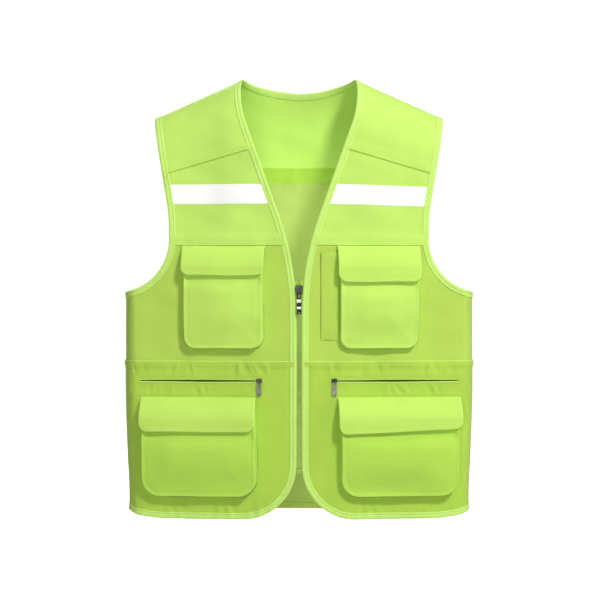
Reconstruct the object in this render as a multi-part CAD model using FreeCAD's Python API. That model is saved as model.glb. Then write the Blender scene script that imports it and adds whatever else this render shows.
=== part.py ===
"""High visibility vest: a sleeveless work vest with a front zip and seven pockets.

The vest is held by its shoulders and filled out as on a wearer. The origin lies midway
between the two neck points, where the shoulder ridges start. +Z is up, -Y is the front and
+X is the wearer's left. All sizes are in millimetres.
"""
import FreeCAD, Part
import math
import os
from FreeCAD import Vector

# ------------------------------------------------------------------ the torso form
length = 688.0             # neck point to hem
half_width = 273.0         # centre to side seam
front_depth_centre = 72.0  # side seams to the front, at the centre
front_fall = 0.10          # how much shallower the front gets per mm outwards
back_depth_centre = 56.0   # side seams to the back, at the centre
back_fall = 0.034
side_round = 20.0          # width of the rounded side, seen from the front
crown_height = 90.0        # drop over which a shoulder rounds over from ridge to flat
neck_half = 86.5           # centre to neck point
shoulder_slope = 24.0      # degrees

# ------------------------------------------------------------------ the cut edges
neck_edge_half = 89.6      # centre to the bound edge of the neck, at the ridge
neck_bend_half = 93.5      # where the V starts to slant inwards
neck_bend_drop = 42.0
neck_bend_radius = 160.0
v_drop = 294.0             # where the V's slant would meet the zip
v_foot_radius = 450.0
back_neck_drop = 13.6
back_neck_slope = 0.307
back_neck_radius = 270.0
zip_gap = 8.5              # between the two bound front edges
front_corner_radius = 84.0
armhole_half = 202.0       # centre to the narrowest point of the armhole
armhole_waist_drop = 215.0
shoulder_flare = 0.171     # how much wider the shoulder gets per mm upwards
underarm_drop = 336.0
underarm_slope = 0.206
underarm_radius = 82.0
armhole_side_radius = 260.0

# ------------------------------------------------------------------ cloth
fabric = 1.0
binding_width = 10.0
binding_wall = 0.8         # cloth of the binding on each face of a panel
reflective_wall = 0.5
reflective_width = 31.0

# ------------------------------------------------------------------ seams, as drops from the neck points
yoke_seam_drop = 115.0     # at yoke_seam_half from the centre
yoke_seam_half = 80.0
yoke_seam_fall = 0.306     # further drop per mm outwards
front_tape_drop = 170.0
back_tape_drop = 131.0
back_seam_drop = 163.0
chest_seam_drop = 264.0
lower_panel_height = 245.0

# ------------------------------------------------------------------ chest pockets
chest_pocket_centre = {"left": 123.5, "right": 117.0}
chest_pocket_width = 120.0
chest_pocket_height = 147.0
chest_pocket_depth = 16.0
chest_pocket_corner = 17.0
chest_flap_width = 128.0
chest_flap_drop = {"left": 57.0, "right": 47.0}
chest_patch_width = 70.0

# ------------------------------------------------------------------ pen pocket, on the wearer's left
pen_pocket_width = 30.0
pen_pocket_height = 135.0
pen_pocket_depth = 6.0

# ------------------------------------------------------------------ lower pockets
lower_flap_drop_from_waist = 56.0
lower_pocket_inner = {"left": 65.0, "right": 67.0}    # centre line of the vest to the pocket's inner edge
lower_pocket_outer = {"left": 246.0, "right": 242.0}
lower_pocket_height = 140.0
lower_pocket_depth = 20.0
lower_pocket_corner = 23.0
lower_flap_inner = {"left": 60.0, "right": 67.0}
lower_flap_outer = {"left": 252.0, "right": 246.0}
lower_flap_drop = {"left": 52.5, "right": 52.5}
lower_patch_width = 36.0

# ------------------------------------------------------------------ shared by all flapped pockets
mouth_depth = 7.0          # how far the mouth stands open
mouth_drop = 12.0          # flap seam to pocket mouth
flap_corner = 13.0
flap_knee_drop = 6.0
flap_slant_drop = 28.0     # flap seam to where the flap hangs straight
patch_wall = 1.0           # hook or loop tape
patch_height = 13.0
patch_gap = 0.3            # between hook and loop
seam_gap = 0.4             # between a flap's sewn edge and the panel

# ------------------------------------------------------------------ zips
tooth_gap = 0.8            # centre line to the coil
coil_width = 2.4
coil_wall = 2.2
tape_wall = 0.8
main_tape_width = 13.0
zip_top_drop = 326.0
zip_foot_rise = 80.0       # hem to the foot of the main zip
stop_height = 2.5
box_size = Vector(7.8, 3.6, 9.0)
pin_side = 1.6
slider_gap = 0.5           # slider to teeth, tape and cloth
slider_wall = 1.5
main_slider_size = (11.5, 15.0)
main_pull_size = (6.7, 33.0, 1.2)
main_bail = (10.5, 3.0, 1.2, 2.0)     # height, clear depth, wall, width
pocket_slit_drop = 31.0    # waist seam to pocket zip
pocket_slit_outer = 248.0
pocket_slit_half = 3.4
pocket_tape_width = 8.3
pocket_coil_width = 2.0
pocket_slider_size = (9.0, 7.4)
pocket_pull_size = (8.0, 20.5, 1.0)
pocket_bail = (8.4, 2.4, 1.0, 1.6)
pull_to_flap = 5.5         # centre of a pocket pull to the flap's inner edge
lip_room = 1.2             # between the lower panel and a pocket slider's plate
bag_height = 170.0
bag_depth = 6.0
bag_margin = 12.0
bag_slot_half = 7.5

# ------------------------------------------------------------------ worked-out places
FAR = 400.0                # beyond every edge
FLOOR = -length - 100.0    # below the hem
ORIGIN = Vector(0, 0, 0)
UP = Vector(0, 0, 1)
hem = -length
waist_seam = hem + lower_panel_height
chest_seam = -chest_seam_drop
flat_half = half_width - side_round
front_turn = math.degrees(math.atan(front_fall))
slope = math.tan(math.radians(shoulder_slope))
centre_face = -(front_depth_centre + fabric)
zip_top = -zip_top_drop
zip_foot = hem + zip_foot_rise
lower_flap_seam = waist_seam - lower_flap_drop_from_waist
pocket_slit = waist_seam - pocket_slit_drop
coil_back = (fabric + binding_wall) * math.cos(math.radians(front_turn)) + tape_wall
SIDES = ("left", "right")


# ------------------------------------------------------------------ drawing helpers
def inset_corners(corners, inset):
    """Corners (x, z, radius) of a counterclockwise outline, moved inwards by inset."""
    lines = []
    for (x0, z0, _), (x1, z1, _) in zip(corners, corners[1:] + corners[:1]):
        run = math.hypot(x1 - x0, z1 - z0)
        dx, dz = (x1 - x0) / run, (z1 - z0) / run
        lines.append((x0 - dz * inset, z0 + dx * inset, dx, dz))
    moved = []
    for before, after, corner in zip(lines[-1:] + lines[:-1], lines, corners):
        ax, az, adx, adz = before
        bx, bz, bdx, bdz = after
        turn = adx * bdz - adz * bdx
        along = ((bx - ax) * bdz - (bz - az) * bdx) / turn
        radius = corner[2]
        if radius:
            radius = max(radius - inset, 0.5) if turn > 0 else radius + inset
        moved.append((ax + adx * along, az + adz * along, radius))
    return moved


def outline_wire(corners, place):
    """Closed wire through corners, each rounded by a tangent arc; place(a, b) gives a Vector."""
    points = [place(a, b) for a, b, _ in corners]
    edges = []
    stops = []
    for index, corner in enumerate(corners):
        at = points[index]
        into = (at - points[index - 1]).normalize()
        out = (points[(index + 1) % len(points)] - at).normalize()
        radius = corner[2]
        if not radius:
            stops.append((at, at, None))
            continue
        half_turn = into.getAngle(out) / 2.0
        back_off = radius * math.tan(half_turn)
        start = at - into * back_off
        end = at + out * back_off
        inwards = (out - into).normalize()
        middle = at + inwards * (radius / math.cos(half_turn) - radius)
        stops.append((start, end, middle))
    for index, (start, end, middle) in enumerate(stops):
        if middle is not None:
            edges.append(Part.Arc(start, middle, end).toShape())
        following = stops[(index + 1) % len(stops)][0]
        if (following - end).Length > 1e-6:
            edges.append(Part.LineSegment(end, following).toShape())
    return Part.Wire(edges)


def front_prism(corners, y_low, y_high):
    """Outline seen from the front, (x, z, radius), carried from y_low to y_high."""
    wire = outline_wire(corners, lambda x, z: Vector(x, y_low, z))
    return Part.Face(wire).extrude(Vector(0, y_high - y_low, 0))


def side_prism(corners, x_low, x_high):
    """Outline seen from the side, (depth outwards, z), carried from x_low to x_high."""
    rounded = [(depth, z, 0) for depth, z in corners]
    wire = outline_wire(rounded, lambda depth, z: Vector(x_low, -depth, z))
    return Part.Face(wire).extrude(Vector(x_high - x_low, 0, 0))


def box(x, depth, z):
    """Block between pairs of x, depth outwards and z."""
    corner = Vector(x[0], -depth[1], z[0])
    return Part.makeBox(x[1] - x[0], depth[1] - depth[0], z[1] - z[0], corner)


def rectangle(x_low, x_high, z_low, z_high, bottom_radius=0.0, top_radius=0.0):
    """Counterclockwise corners of a rectangle seen from the front."""
    return [(x_low, z_low, bottom_radius), (x_high, z_low, bottom_radius),
            (x_high, z_high, top_radius), (x_low, z_high, top_radius)]


def joined(shapes):
    """Shapes that touch, fused into one solid without leftover edges."""
    return shapes[0].multiFuse(shapes[1:]).removeSplitter()


def mirrored(shape):
    return shape.mirror(ORIGIN, Vector(1, 0, 0))


def on_front(shape, side):
    """Carry a piece drawn on a flat front, depth 0 on the cloth, to one slanted front."""
    placed = shape.copy()
    placed.rotate(ORIGIN, UP, front_turn)
    placed.translate(Vector(0, centre_face, 0))
    return placed if side == "left" else mirrored(placed)


def at_centre(shape):
    """Carry a piece drawn about the centre line, depth 0 on the cloth, to the front."""
    placed = shape.copy()
    placed.translate(Vector(0, centre_face, 0))
    return placed


# ------------------------------------------------------------------ the torso form
def quarter(start, corner, end):
    """Quarter of an ellipse from start to end, its tangents meeting at corner."""
    curve = Part.BezierCurve()
    curve.setPoles([start, corner, end])
    for index, weight in enumerate([1.0, math.sqrt(0.5), 1.0], 1):
        curve.setWeight(index, weight)
    return curve.toShape()


def depths(x, skin):
    """Front and back depth of the torso at x, grown by skin."""
    return front_depth_centre - front_fall * x + skin, back_depth_centre - back_fall * x + skin


def torso_section(x, skin):
    """Edges of the fore-and-aft section at x: front, two crown quarters, back, floor."""
    front, back = depths(x, skin)
    flat_top = -(x - neck_half) * slope - crown_height
    ridge = flat_top + crown_height + skin
    corners = [Vector(x, -front, FLOOR), Vector(x, -front, flat_top), Vector(x, 0, ridge),
               Vector(x, back, flat_top), Vector(x, back, FLOOR)]
    return [Part.LineSegment(corners[0], corners[1]).toShape(),
            quarter(corners[1], Vector(x, -front, ridge), corners[2]),
            quarter(corners[2], Vector(x, back, ridge), corners[3]),
            Part.LineSegment(corners[3], corners[4]).toShape(),
            Part.LineSegment(corners[4], corners[0]).toShape()]


def side_bulge(skin):
    """The rounded side below the armhole, half an ellipse in plan."""
    front, back = depths(flat_half, skin)
    reach = flat_half + side_round + skin
    front_end = Vector(flat_half, -front, FLOOR)
    side = Vector(reach, 0, FLOOR)
    back_end = Vector(flat_half, back, FLOOR)
    plan = Part.Wire([
        quarter(front_end, Vector(reach, -front, FLOOR), side),
        quarter(side, Vector(reach, back, FLOOR), back_end),
        Part.LineSegment(back_end, front_end).toShape()])
    top = -underarm_drop + 2 * underarm_radius
    return Part.Face(plan).extrude(Vector(0, 0, top - FLOOR))


def half_torso(skin, start=0.0):
    """The wearer's left half of the torso, grown by skin, ruled from the centre to the side."""
    near = torso_section(start, skin)
    far = torso_section(flat_half, skin)
    faces = [Part.Face(Part.Wire(near)), Part.Face(Part.Wire(far))]
    for one, other in zip(near, far):
        if isinstance(one.Curve, Part.Line):
            ends = [one.Vertexes[0].Point, one.Vertexes[1].Point,
                    other.Vertexes[1].Point, other.Vertexes[0].Point]
            faces.append(Part.Face(Part.makePolygon(ends + ends[:1])))
        else:
            faces.append(Part.makeRuledSurface(one, other))
    shell = Part.makeShell(faces)
    shell.sewShape()
    solid = Part.makeSolid(shell)
    if solid.Volume < 0:
        solid.reverse()
    return solid.fuse(side_bulge(skin))


def layer(inner, outer):
    """The wearer's left half of a layer of cloth between two skins."""
    return half_torso(outer).cut(half_torso(inner, start=-10.0))


# ------------------------------------------------------------------ cut outlines, wearer's left
def armhole_corners():
    """From beyond the side seam, round the armhole, to above the shoulder."""
    outer = half_width + 30.0
    slant = underarm_slope * 30.0
    foot = -underarm_drop + underarm_slope * (half_width - armhole_half)
    shoulder_top = 60.0
    flare = shoulder_flare * (armhole_waist_drop + shoulder_top)
    return [(outer, -underarm_drop - slant, 0), (armhole_half - 1.0, foot, underarm_radius),
            (armhole_half, -armhole_waist_drop, armhole_side_radius),
            (armhole_half + flare, shoulder_top, 0)]


def neck_start():
    """Where the neck's cut edge is drawn from, above the shoulder."""
    above = 60.0
    flare = (neck_bend_half - neck_edge_half) / neck_bend_drop
    return (neck_edge_half - above * flare, above, 0)


def front_corners():
    edge = zip_gap / 2
    return [neck_start(), (neck_bend_half, -neck_bend_drop, neck_bend_radius),
            (edge, -v_drop, v_foot_radius), (edge, hem, front_corner_radius),
            (half_width + 30.0, hem, 0)] + armhole_corners()


def back_corners():
    return [(-40.0, hem, 0), (half_width + 30.0, hem, 0)] + armhole_corners() + [
        neck_start(), (neck_edge_half, 0.4, 6.0),
        (neck_edge_half - (back_neck_drop + 0.4) / back_neck_slope, -back_neck_drop, back_neck_radius),
        (-40.0, -back_neck_drop, 0)]


def half_sheet(cloth, corners, front):
    """The part of a layer inside an outline, on the front or on the back."""
    y_range = (-FAR, 0.0) if front else (0.0, FAR)
    return cloth.common(front_prism(corners, *y_range))


def between(sheet, high_corners, low_corners):
    """The part of a sheet between two lines given left to right as (x, z)."""
    corners = [(x, z, 0) for x, z in low_corners]
    corners += [(x, z, 0) for x, z in reversed(high_corners)]
    return sheet.common(front_prism(corners, -FAR, FAR))


def level(z):
    return [(-FAR, z), (FAR, z)]


def yoke_seam():
    """The slanting front seam of the yoke."""
    return [(0.0, -yoke_seam_drop + yoke_seam_fall * yoke_seam_half),
            (FAR, -yoke_seam_drop - yoke_seam_fall * (FAR - yoke_seam_half))]


def pocket_slit_corners(side):
    return rectangle(slit_inner(side), pocket_slit_outer, pocket_slit - pocket_slit_half,
                     pocket_slit + pocket_slit_half)


# ------------------------------------------------------------------ panels, bindings and tapes
def make_panels():
    cloth = layer(0.0, fabric)
    front = half_sheet(cloth, inset_corners(front_corners(), binding_width), True)
    back = half_sheet(cloth, inset_corners(back_corners(), binding_width), False)
    top = level(FAR)
    yoke_front = between(front, [(0.0, FAR), (FAR, FAR)], yoke_seam())
    yoke_back = between(back, top, level(-back_seam_drop))
    nodes = {"yoke": joined([yoke_front, yoke_back, mirrored(yoke_back), mirrored(yoke_front)])}
    chest = between(front, yoke_seam(), [(0.0, chest_seam), (FAR, chest_seam)])
    mesh = between(front, level(chest_seam), level(waist_seam))
    lower = between(front, level(waist_seam), level(hem - 1.0))
    for side in SIDES:
        turned = (lambda s: s) if side == "left" else mirrored
        slit = on_front(front_prism(pocket_slit_corners(side), -FAR / 10, FAR / 10), side)
        nodes["chest_panel_" + side] = turned(chest)
        nodes["front_mesh_panel_" + side] = turned(mesh)
        nodes["lower_panel_" + side] = turned(lower).cut(slit)
    back_mesh = between(back, level(-back_seam_drop), level(hem - 1.0))
    nodes["back_mesh_panel"] = joined([back_mesh, mirrored(back_mesh)])
    return nodes


def edge_bands(corners, front):
    """Strips of binding along every cut edge of an outline, as separate solids."""
    cloth = layer(-binding_wall, fabric + binding_wall)
    y_range = (-FAR, 0.0) if front else (0.0, FAR)
    band = front_prism(corners, *y_range).cut(front_prism(inset_corners(corners, binding_width), *y_range))
    return cloth.common(band).Solids


def make_bindings():
    front_strips = edge_bands(front_corners(), True)
    back_strips = edge_bands(back_corners(), False)
    armhole_front = max(front_strips, key=lambda strip: strip.CenterOfMass.z)
    front_edge = min(front_strips, key=lambda strip: strip.CenterOfMass.z)
    neck, armhole_back, hem_strip = sorted(back_strips, key=lambda strip: -strip.CenterOfMass.z)
    armhole = joined([armhole_front, armhole_back])
    nodes = {
        "back_neck_binding": joined([neck, mirrored(neck)]),
        "back_hem_binding": joined([hem_strip, mirrored(hem_strip)]),
        "front_edge_binding_left": front_edge,
        "front_edge_binding_right": mirrored(front_edge),
        "armhole_binding_left": armhole,
        "armhole_binding_right": mirrored(armhole)}
    return nodes


def make_reflective_tapes():
    cloth = layer(fabric, fabric + reflective_wall)
    front = half_sheet(cloth, inset_corners(front_corners(), binding_width), True)
    back = half_sheet(cloth, inset_corners(back_corners(), binding_width), False)
    front = between(front, level(-front_tape_drop), level(-front_tape_drop - reflective_width))
    back = between(back, level(-back_tape_drop), level(-back_tape_drop - reflective_width))
    return {"front_reflective_tape_left": front,
            "front_reflective_tape_right": mirrored(front),
            "back_reflective_tape": joined([back, mirrored(back)])}


# ------------------------------------------------------------------ flapped pockets
def bellows(x_low, x_high, mouth, bottom, depth, corner, slant_end):
    """Face and gusset of a pocket that stands off the cloth and is open at its mouth."""
    outline = rectangle(x_low, x_high, bottom, mouth, bottom_radius=corner)
    core = inset_corners(rectangle(x_low, x_high, bottom, mouth + FAR / 10, bottom_radius=corner), fabric)

    def profile(wall):
        return [(0.0, bottom - 1.0), (depth - wall, bottom - 1.0), (depth - wall, slant_end),
                (mouth_depth - wall, mouth), (0.0, mouth)]

    whole = front_prism(outline, -FAR / 10, 0.0)
    outer = side_prism(profile(0.0), x_low - 1.0, x_high + 1.0)
    inner = side_prism(profile(fabric), x_low - 2.0, x_high + 2.0)
    face = whole.common(outer).cut(inner)
    gusset = whole.cut(front_prism(core, -FAR / 5, FAR / 10)).common(inner)
    return face, gusset


def flap(x_low, x_high, seam, drop, hang):
    """A bent flap: sewn edge at the seam, out over the mouth, then straight down at hang."""
    outline = rectangle(x_low, x_high, seam - drop, seam + FAR / 10, bottom_radius=flap_corner)
    knee = mouth_depth + 2.5
    low = seam - drop - 1.0
    inner = [(seam_gap, seam), (knee, seam - flap_knee_drop), (hang, seam - flap_slant_drop), (hang, low)]
    outer = [(hang + fabric, low), (hang + fabric, seam - flap_slant_drop + 0.4 * fabric),
             (knee + 0.7 * fabric, seam - flap_knee_drop + fabric), (seam_gap, seam + fabric)]
    strip = side_prism(inner + outer, x_low - 1.0, x_high + 1.0)
    return strip.common(front_prism(outline, -FAR / 10, 0.0))


def patches(centres, width, top, face_depth):
    """Hook or loop tapes of one pocket, on a face at face_depth."""
    blocks = [box((x - width / 2, x + width / 2), (face_depth, face_depth + patch_wall),
                  (top - patch_height, top)) for x in centres]
    return blocks[0] if len(blocks) == 1 else Part.makeCompound(blocks)


def flapped_pocket(name, side, body, cover, seam, height, depth, corner, drop, patch_at, patch_width):
    """Nodes of one flapped pocket: face, gusset, loop tape, flap and hook tape."""
    mouth = seam - mouth_drop
    slant_end = seam - flap_slant_drop
    face, gusset = bellows(body[0], body[1], mouth, mouth - height, depth, corner, slant_end)
    hang = depth + 2 * patch_wall + patch_gap
    patch_top = slant_end - 1.0
    pieces = {
        "pocket_face": face,
        "pocket_gusset": gusset,
        "loop_tape": patches(patch_at, patch_width, patch_top, depth),
        "flap": flap(cover[0], cover[1], seam, drop, hang),
        "hook_tape": patches(patch_at, patch_width, patch_top, hang - patch_wall)}
    return {name + "_" + key + "_" + side: on_front(shape, side) for key, shape in pieces.items()}


def make_chest_pockets():
    nodes = {}
    for side in SIDES:
        centre = chest_pocket_centre[side]
        body = (centre - chest_pocket_width / 2, centre + chest_pocket_width / 2)
        cover = (centre - chest_flap_width / 2, centre + chest_flap_width / 2)
        nodes.update(flapped_pocket(
            "chest", side, body, cover, chest_seam, chest_pocket_height, chest_pocket_depth,
            chest_pocket_corner, chest_flap_drop[side], [centre], chest_patch_width))
    return nodes


def make_pen_pocket():
    """A narrow open pocket beside the chest pocket, one piece of cloth."""
    outer = chest_pocket_centre["left"] - chest_pocket_width / 2 - 0.5
    inner = outer - pen_pocket_width
    mouth = chest_seam - mouth_drop
    bottom = mouth - pen_pocket_height
    block = box((inner, outer), (0.0, pen_pocket_depth), (bottom, mouth))
    hollow = box((inner + fabric, outer - fabric), (0.0, pen_pocket_depth - fabric),
                 (bottom + fabric, mouth + 1.0))
    return {"pen_pocket": on_front(block.cut(hollow), "left")}


def make_lower_pockets():
    nodes = {}
    for side in SIDES:
        body = (lower_pocket_inner[side], lower_pocket_outer[side])
        quarter_width = (body[1] - body[0]) / 4
        patch_at = [body[0] + quarter_width, body[1] - quarter_width]
        cover = (lower_flap_inner[side], lower_flap_outer[side])
        nodes.update(flapped_pocket(
            "lower", side, body, cover, lower_flap_seam, lower_pocket_height, lower_pocket_depth,
            lower_pocket_corner, lower_flap_drop[side], patch_at, lower_patch_width))
    return nodes


# ------------------------------------------------------------------ sliders and pulls
def bail(x, z_high, plate_face, size):
    """The bridge on a slider's plate that the pull hooks round; it runs up and down."""
    height, clear, wall, width = size
    across = (x - width / 2, x + width / 2)
    block = box(across, (plate_face, plate_face + clear + wall), (z_high - height, z_high))
    window = box((x - width, x + width), (plate_face, plate_face + clear),
                 (z_high - height + wall, z_high - wall))
    return block.cut(window)


def pull_axis(z_high, plate_face, size, pull_size):
    """Depth and height of the axis that a pull turns on, at the foot of the bail's window."""
    height, clear, wall, _ = size
    depth = plate_face + clear / 2
    return depth, z_high - height + wall + 0.3 + pull_size[2] / 2


def pull(x, axis, size, bail_size, taper):
    """A zip pull hanging from its crossbar: arms beside the bail, then a plate with an oval hole."""
    width, hang, wall = size
    depth, z = axis
    top_half = width * taper / 2
    window_half = bail_size[3] / 2 + slider_gap
    window_length = 0.72 * bail_size[0]
    outline = [(x - width / 2, z - hang, width * 0.3), (x + width / 2, z - hang, width * 0.3),
               (x + top_half, z, 0), (x - top_half, z, 0)]
    plate = front_prism(outline, -depth - wall / 2, -depth + wall / 2)
    window = rectangle(x - window_half, x + window_half, z - window_length, z + 1.0)
    hole_half = width * 0.22
    hole = rectangle(x - hole_half, x + hole_half, z - hang + 1.3, z - hang + 1.3 + 1.3 * hole_half,
                     bottom_radius=0.6 * hole_half, top_radius=0.6 * hole_half)
    for cut in (window, hole):
        plate = plate.cut(front_prism(cut, -FAR / 10, FAR / 10))
    crossbar = Part.makeCylinder(wall / 2, 2 * top_half, Vector(x - top_half, -depth, z), Vector(1, 0, 0))
    return plate.fuse(crossbar).removeSplitter()


def make_main_zip():
    """The centre front zip: tapes, coils, stops, pin, retaining box, slider and pull."""
    nodes = {}
    coil_x = (tooth_gap, tooth_gap + coil_width)
    coil_depth = (-coil_back, -coil_back + coil_wall)
    for side in SIDES:
        tape = box((coil_x[1], coil_x[1] + main_tape_width), (-coil_back, -coil_back + tape_wall),
                   (zip_foot, zip_top + 6.0))
        coil = box(coil_x, coil_depth, (zip_foot, zip_top))
        nodes["main_zip_tape_" + side] = on_front(tape, side)
        nodes["main_zip_teeth_" + side] = on_front(coil, side)
    stop = box(coil_x, coil_depth, (zip_top, zip_top + stop_height))
    nodes["main_zip_top_stops"] = Part.makeCompound([on_front(stop, side) for side in SIDES])
    half_box = box_size.x / 2
    box_depth = (-coil_back - 0.5, -coil_back - 0.5 + box_size.y)
    pin_x = (tooth_gap, tooth_gap + pin_side)
    pin_depth = (-coil_back + 0.3, -coil_back + 0.3 + pin_side)
    pin = box(pin_x, pin_depth, (zip_foot - box_size.z + 1.0, zip_foot))
    channel = box((pin_x[0] - 0.3, pin_x[1] + 0.3), (pin_depth[0] - 0.3, pin_depth[1] + 0.3),
                  (zip_foot - box_size.z + 0.7, zip_foot + 1.0))
    retainer = box((-half_box, half_box), box_depth, (zip_foot - box_size.z, zip_foot - 0.3))
    retainer = retainer.makeFillet(0.8, [edge for edge in retainer.Edges if abs(edge.tangentAt(0).y) > 0.9])
    nodes["main_zip_retaining_box"] = at_centre(retainer.cut(channel))
    nodes["main_zip_insertion_pin"] = at_centre(pin)
    nodes.update(main_slider_and_pull())
    return nodes


def main_slider_and_pull():
    width, height = main_slider_size
    top = zip_top - slider_gap
    plate_inner = binding_wall + 2 * slider_gap
    plate_face = plate_inner + slider_wall
    shield = [(-0.36 * width, top - height, 1.5), (0.36 * width, top - height, 1.5),
              (0.5 * width, top - 0.35 * height, 4.0), (0.5 * width, top, 2.0),
              (-0.5 * width, top, 2.0), (-0.5 * width, top - 0.35 * height, 4.0)]
    plate = front_prism(shield, -plate_face, -plate_inner)
    back_face = coil_back + slider_gap + front_fall * width / 2    # clears the slanting tapes
    wing = front_prism(shield, back_face, back_face + 0.9 * slider_wall)
    post = box((-0.3, 0.3), (-back_face, plate_inner), (top - 4.0, top - 1.0))
    bridge = bail(0.0, top - 3.0, plate_face, main_bail)
    axis = pull_axis(top - 3.0, plate_face, main_bail, main_pull_size)
    slider = joined([plate, wing, post, bridge])
    return {"main_zip_slider": at_centre(slider),
            "main_zip_pull": at_centre(pull(0.0, axis, main_pull_size, main_bail, 0.95))}


def slider_x(side):
    """Rest place of a pocket slider: just inside the flap's inner edge."""
    return lower_flap_inner[side] - pull_to_flap


def slit_inner(side):
    return slider_x(side) - pocket_slider_size[0] / 2 - 1.0


def pocket_zip(side):
    """One horizontal zip in a lower panel, with its slider, pull and hidden bag."""
    inner = slit_inner(side)
    spans = ((pocket_slit + tooth_gap, pocket_slit + tooth_gap + pocket_coil_width),
             (pocket_slit - tooth_gap - pocket_coil_width, pocket_slit - tooth_gap))
    coil_depth = (-fabric - tape_wall, -fabric + 0.7)
    coils = [box((inner, pocket_slit_outer), coil_depth, span) for span in spans]
    tape_spans = ((spans[0][1], spans[0][1] + pocket_tape_width), (spans[1][0] - pocket_tape_width, spans[1][0]))
    tapes = [box((inner, pocket_slit_outer), (-fabric - tape_wall, -fabric), span) for span in tape_spans]
    centre = slider_x(side)
    length_half, height_half = pocket_slider_size[0] / 2, pocket_slider_size[1] / 2
    plate_face = lip_room + slider_wall
    shield = rectangle(centre - length_half, centre + length_half, pocket_slit - height_half,
                       pocket_slit + height_half, bottom_radius=2.0, top_radius=2.0)
    back_face = fabric + tape_wall + slider_gap
    plate = front_prism(shield, -plate_face, -lip_room)
    wing = front_prism(shield, back_face, back_face + 0.8 * slider_wall)
    post = box((centre - length_half + 0.8, centre - length_half + 3.0), (-back_face, lip_room),
               (pocket_slit - 0.3, pocket_slit + 0.3))
    bail_top = pocket_slit + pocket_bail[0] / 2
    bridge = bail(centre, bail_top, plate_face, pocket_bail)
    axis = pull_axis(bail_top, plate_face, pocket_bail, pocket_pull_size)
    pieces = {
        "pocket_zip_tape": Part.makeCompound(tapes),
        "pocket_zip_teeth": Part.makeCompound(coils),
        "pocket_zip_slider": joined([plate, wing, post, bridge]),
        "pocket_zip_pull": pull(centre, axis, pocket_pull_size, pocket_bail, 0.72),
        "zip_pocket_bag": zip_bag(inner)}
    return {key + "_" + side: on_front(shape, side) for key, shape in pieces.items()}


def zip_bag(inner):
    """The flat bag behind a pocket zip, with a slot that its zip closes."""
    wall = tape_wall
    high = pocket_slit + bag_margin + 2.0
    front = fabric + wall
    x_range = (inner - bag_margin / 2, pocket_slit_outer + bag_margin / 4)
    outer = box(x_range, (-front - bag_depth, -front), (high - bag_height, high))
    cavity = box((x_range[0] + wall, x_range[1] - wall), (-front - bag_depth + wall, -front - wall),
                 (high - bag_height + wall, high - wall))
    slot = box((inner - 1.0, pocket_slit_outer + 1.0), (-front - wall - 1.0, 0.0),
               (pocket_slit - bag_slot_half, pocket_slit + bag_slot_half))
    return outer.cut(cavity).cut(slot)


def make_pocket_zips():
    nodes = {}
    for side in SIDES:
        nodes.update(pocket_zip(side))
    return nodes


# ------------------------------------------------------------------ writing the pieces
def main():
    os.makedirs("parts", exist_ok=True)
    nodes = {}
    for make in (make_panels, make_bindings, make_reflective_tapes, make_chest_pockets,
                 make_pen_pocket, make_lower_pockets, make_main_zip, make_pocket_zips):
        nodes.update(make())
    for name, shape in sorted(nodes.items()):
        solids = shape.Solids
        whole = solids[0] if len(solids) == 1 else Part.makeCompound(solids)
        whole.exportStep("parts/" + name + ".step")
        size = whole.BoundBox
        print(name, len(solids), "solid(s), valid", whole.isValid(), "volume mm3", round(whole.Volume),
              "x", round(size.XMin, 1), round(size.XMax, 1), "y", round(size.YMin, 1), round(size.YMax, 1),
              "z", round(size.ZMin, 1), round(size.ZMax, 1))


main()
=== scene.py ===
import math

import bmesh
import bpy
import numpy as np
from mathutils import Matrix, Vector


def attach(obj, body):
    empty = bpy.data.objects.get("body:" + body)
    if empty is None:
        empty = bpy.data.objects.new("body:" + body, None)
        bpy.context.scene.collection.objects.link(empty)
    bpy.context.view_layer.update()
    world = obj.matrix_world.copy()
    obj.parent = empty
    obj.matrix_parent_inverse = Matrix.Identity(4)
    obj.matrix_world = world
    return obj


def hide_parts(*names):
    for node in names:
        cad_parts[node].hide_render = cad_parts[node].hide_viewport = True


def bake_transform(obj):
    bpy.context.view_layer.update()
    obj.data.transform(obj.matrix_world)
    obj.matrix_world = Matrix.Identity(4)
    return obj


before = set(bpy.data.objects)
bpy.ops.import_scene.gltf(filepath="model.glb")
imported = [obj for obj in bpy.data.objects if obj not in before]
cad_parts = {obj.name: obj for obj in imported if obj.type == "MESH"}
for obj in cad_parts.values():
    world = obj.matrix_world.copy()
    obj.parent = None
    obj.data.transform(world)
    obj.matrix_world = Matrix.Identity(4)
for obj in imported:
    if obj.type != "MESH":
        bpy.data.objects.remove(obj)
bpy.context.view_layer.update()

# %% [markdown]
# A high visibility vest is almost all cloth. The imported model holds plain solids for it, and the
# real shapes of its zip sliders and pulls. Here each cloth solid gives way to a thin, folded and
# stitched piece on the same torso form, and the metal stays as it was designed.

SIDES = {"left": 1, "right": -1}

# %% [markdown]
# The vest hangs filled out, as on a wearer. Its form is simple: a front and a back that are each
# two flat slants, shoulders that round over as quarter ellipses, and rounded sides. Cloth is cut
# flat, so every piece is planned on a flat pattern, with a across and t up, both in mm, and one
# function carries a pattern point onto the form. That way a weave keeps its size everywhere.

# %% The torso form
NECK_HALF, FLAT_HALF, SIDE_ROUND, CROWN = 86.5, 253.0, 20.0, 90.0
SLOPE = math.tan(math.radians(24.0))
SIDE_X = FLAT_HALF + SIDE_ROUND
HEM = -688.0


def depth_at(x, front):
    return 72.0 - 0.1 * x if front else 56.0 - 0.034 * x


def quarter_length(a, b):
    """Length of a quarter of an ellipse."""
    h = ((a - b) / (a + b)) ** 2
    return math.pi * (a + b) * (1 + 3 * h / (10 + np.sqrt(4 - 3 * h))) / 4


def ridge(x):
    return -(np.abs(x) - NECK_HALF) * SLOPE


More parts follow.
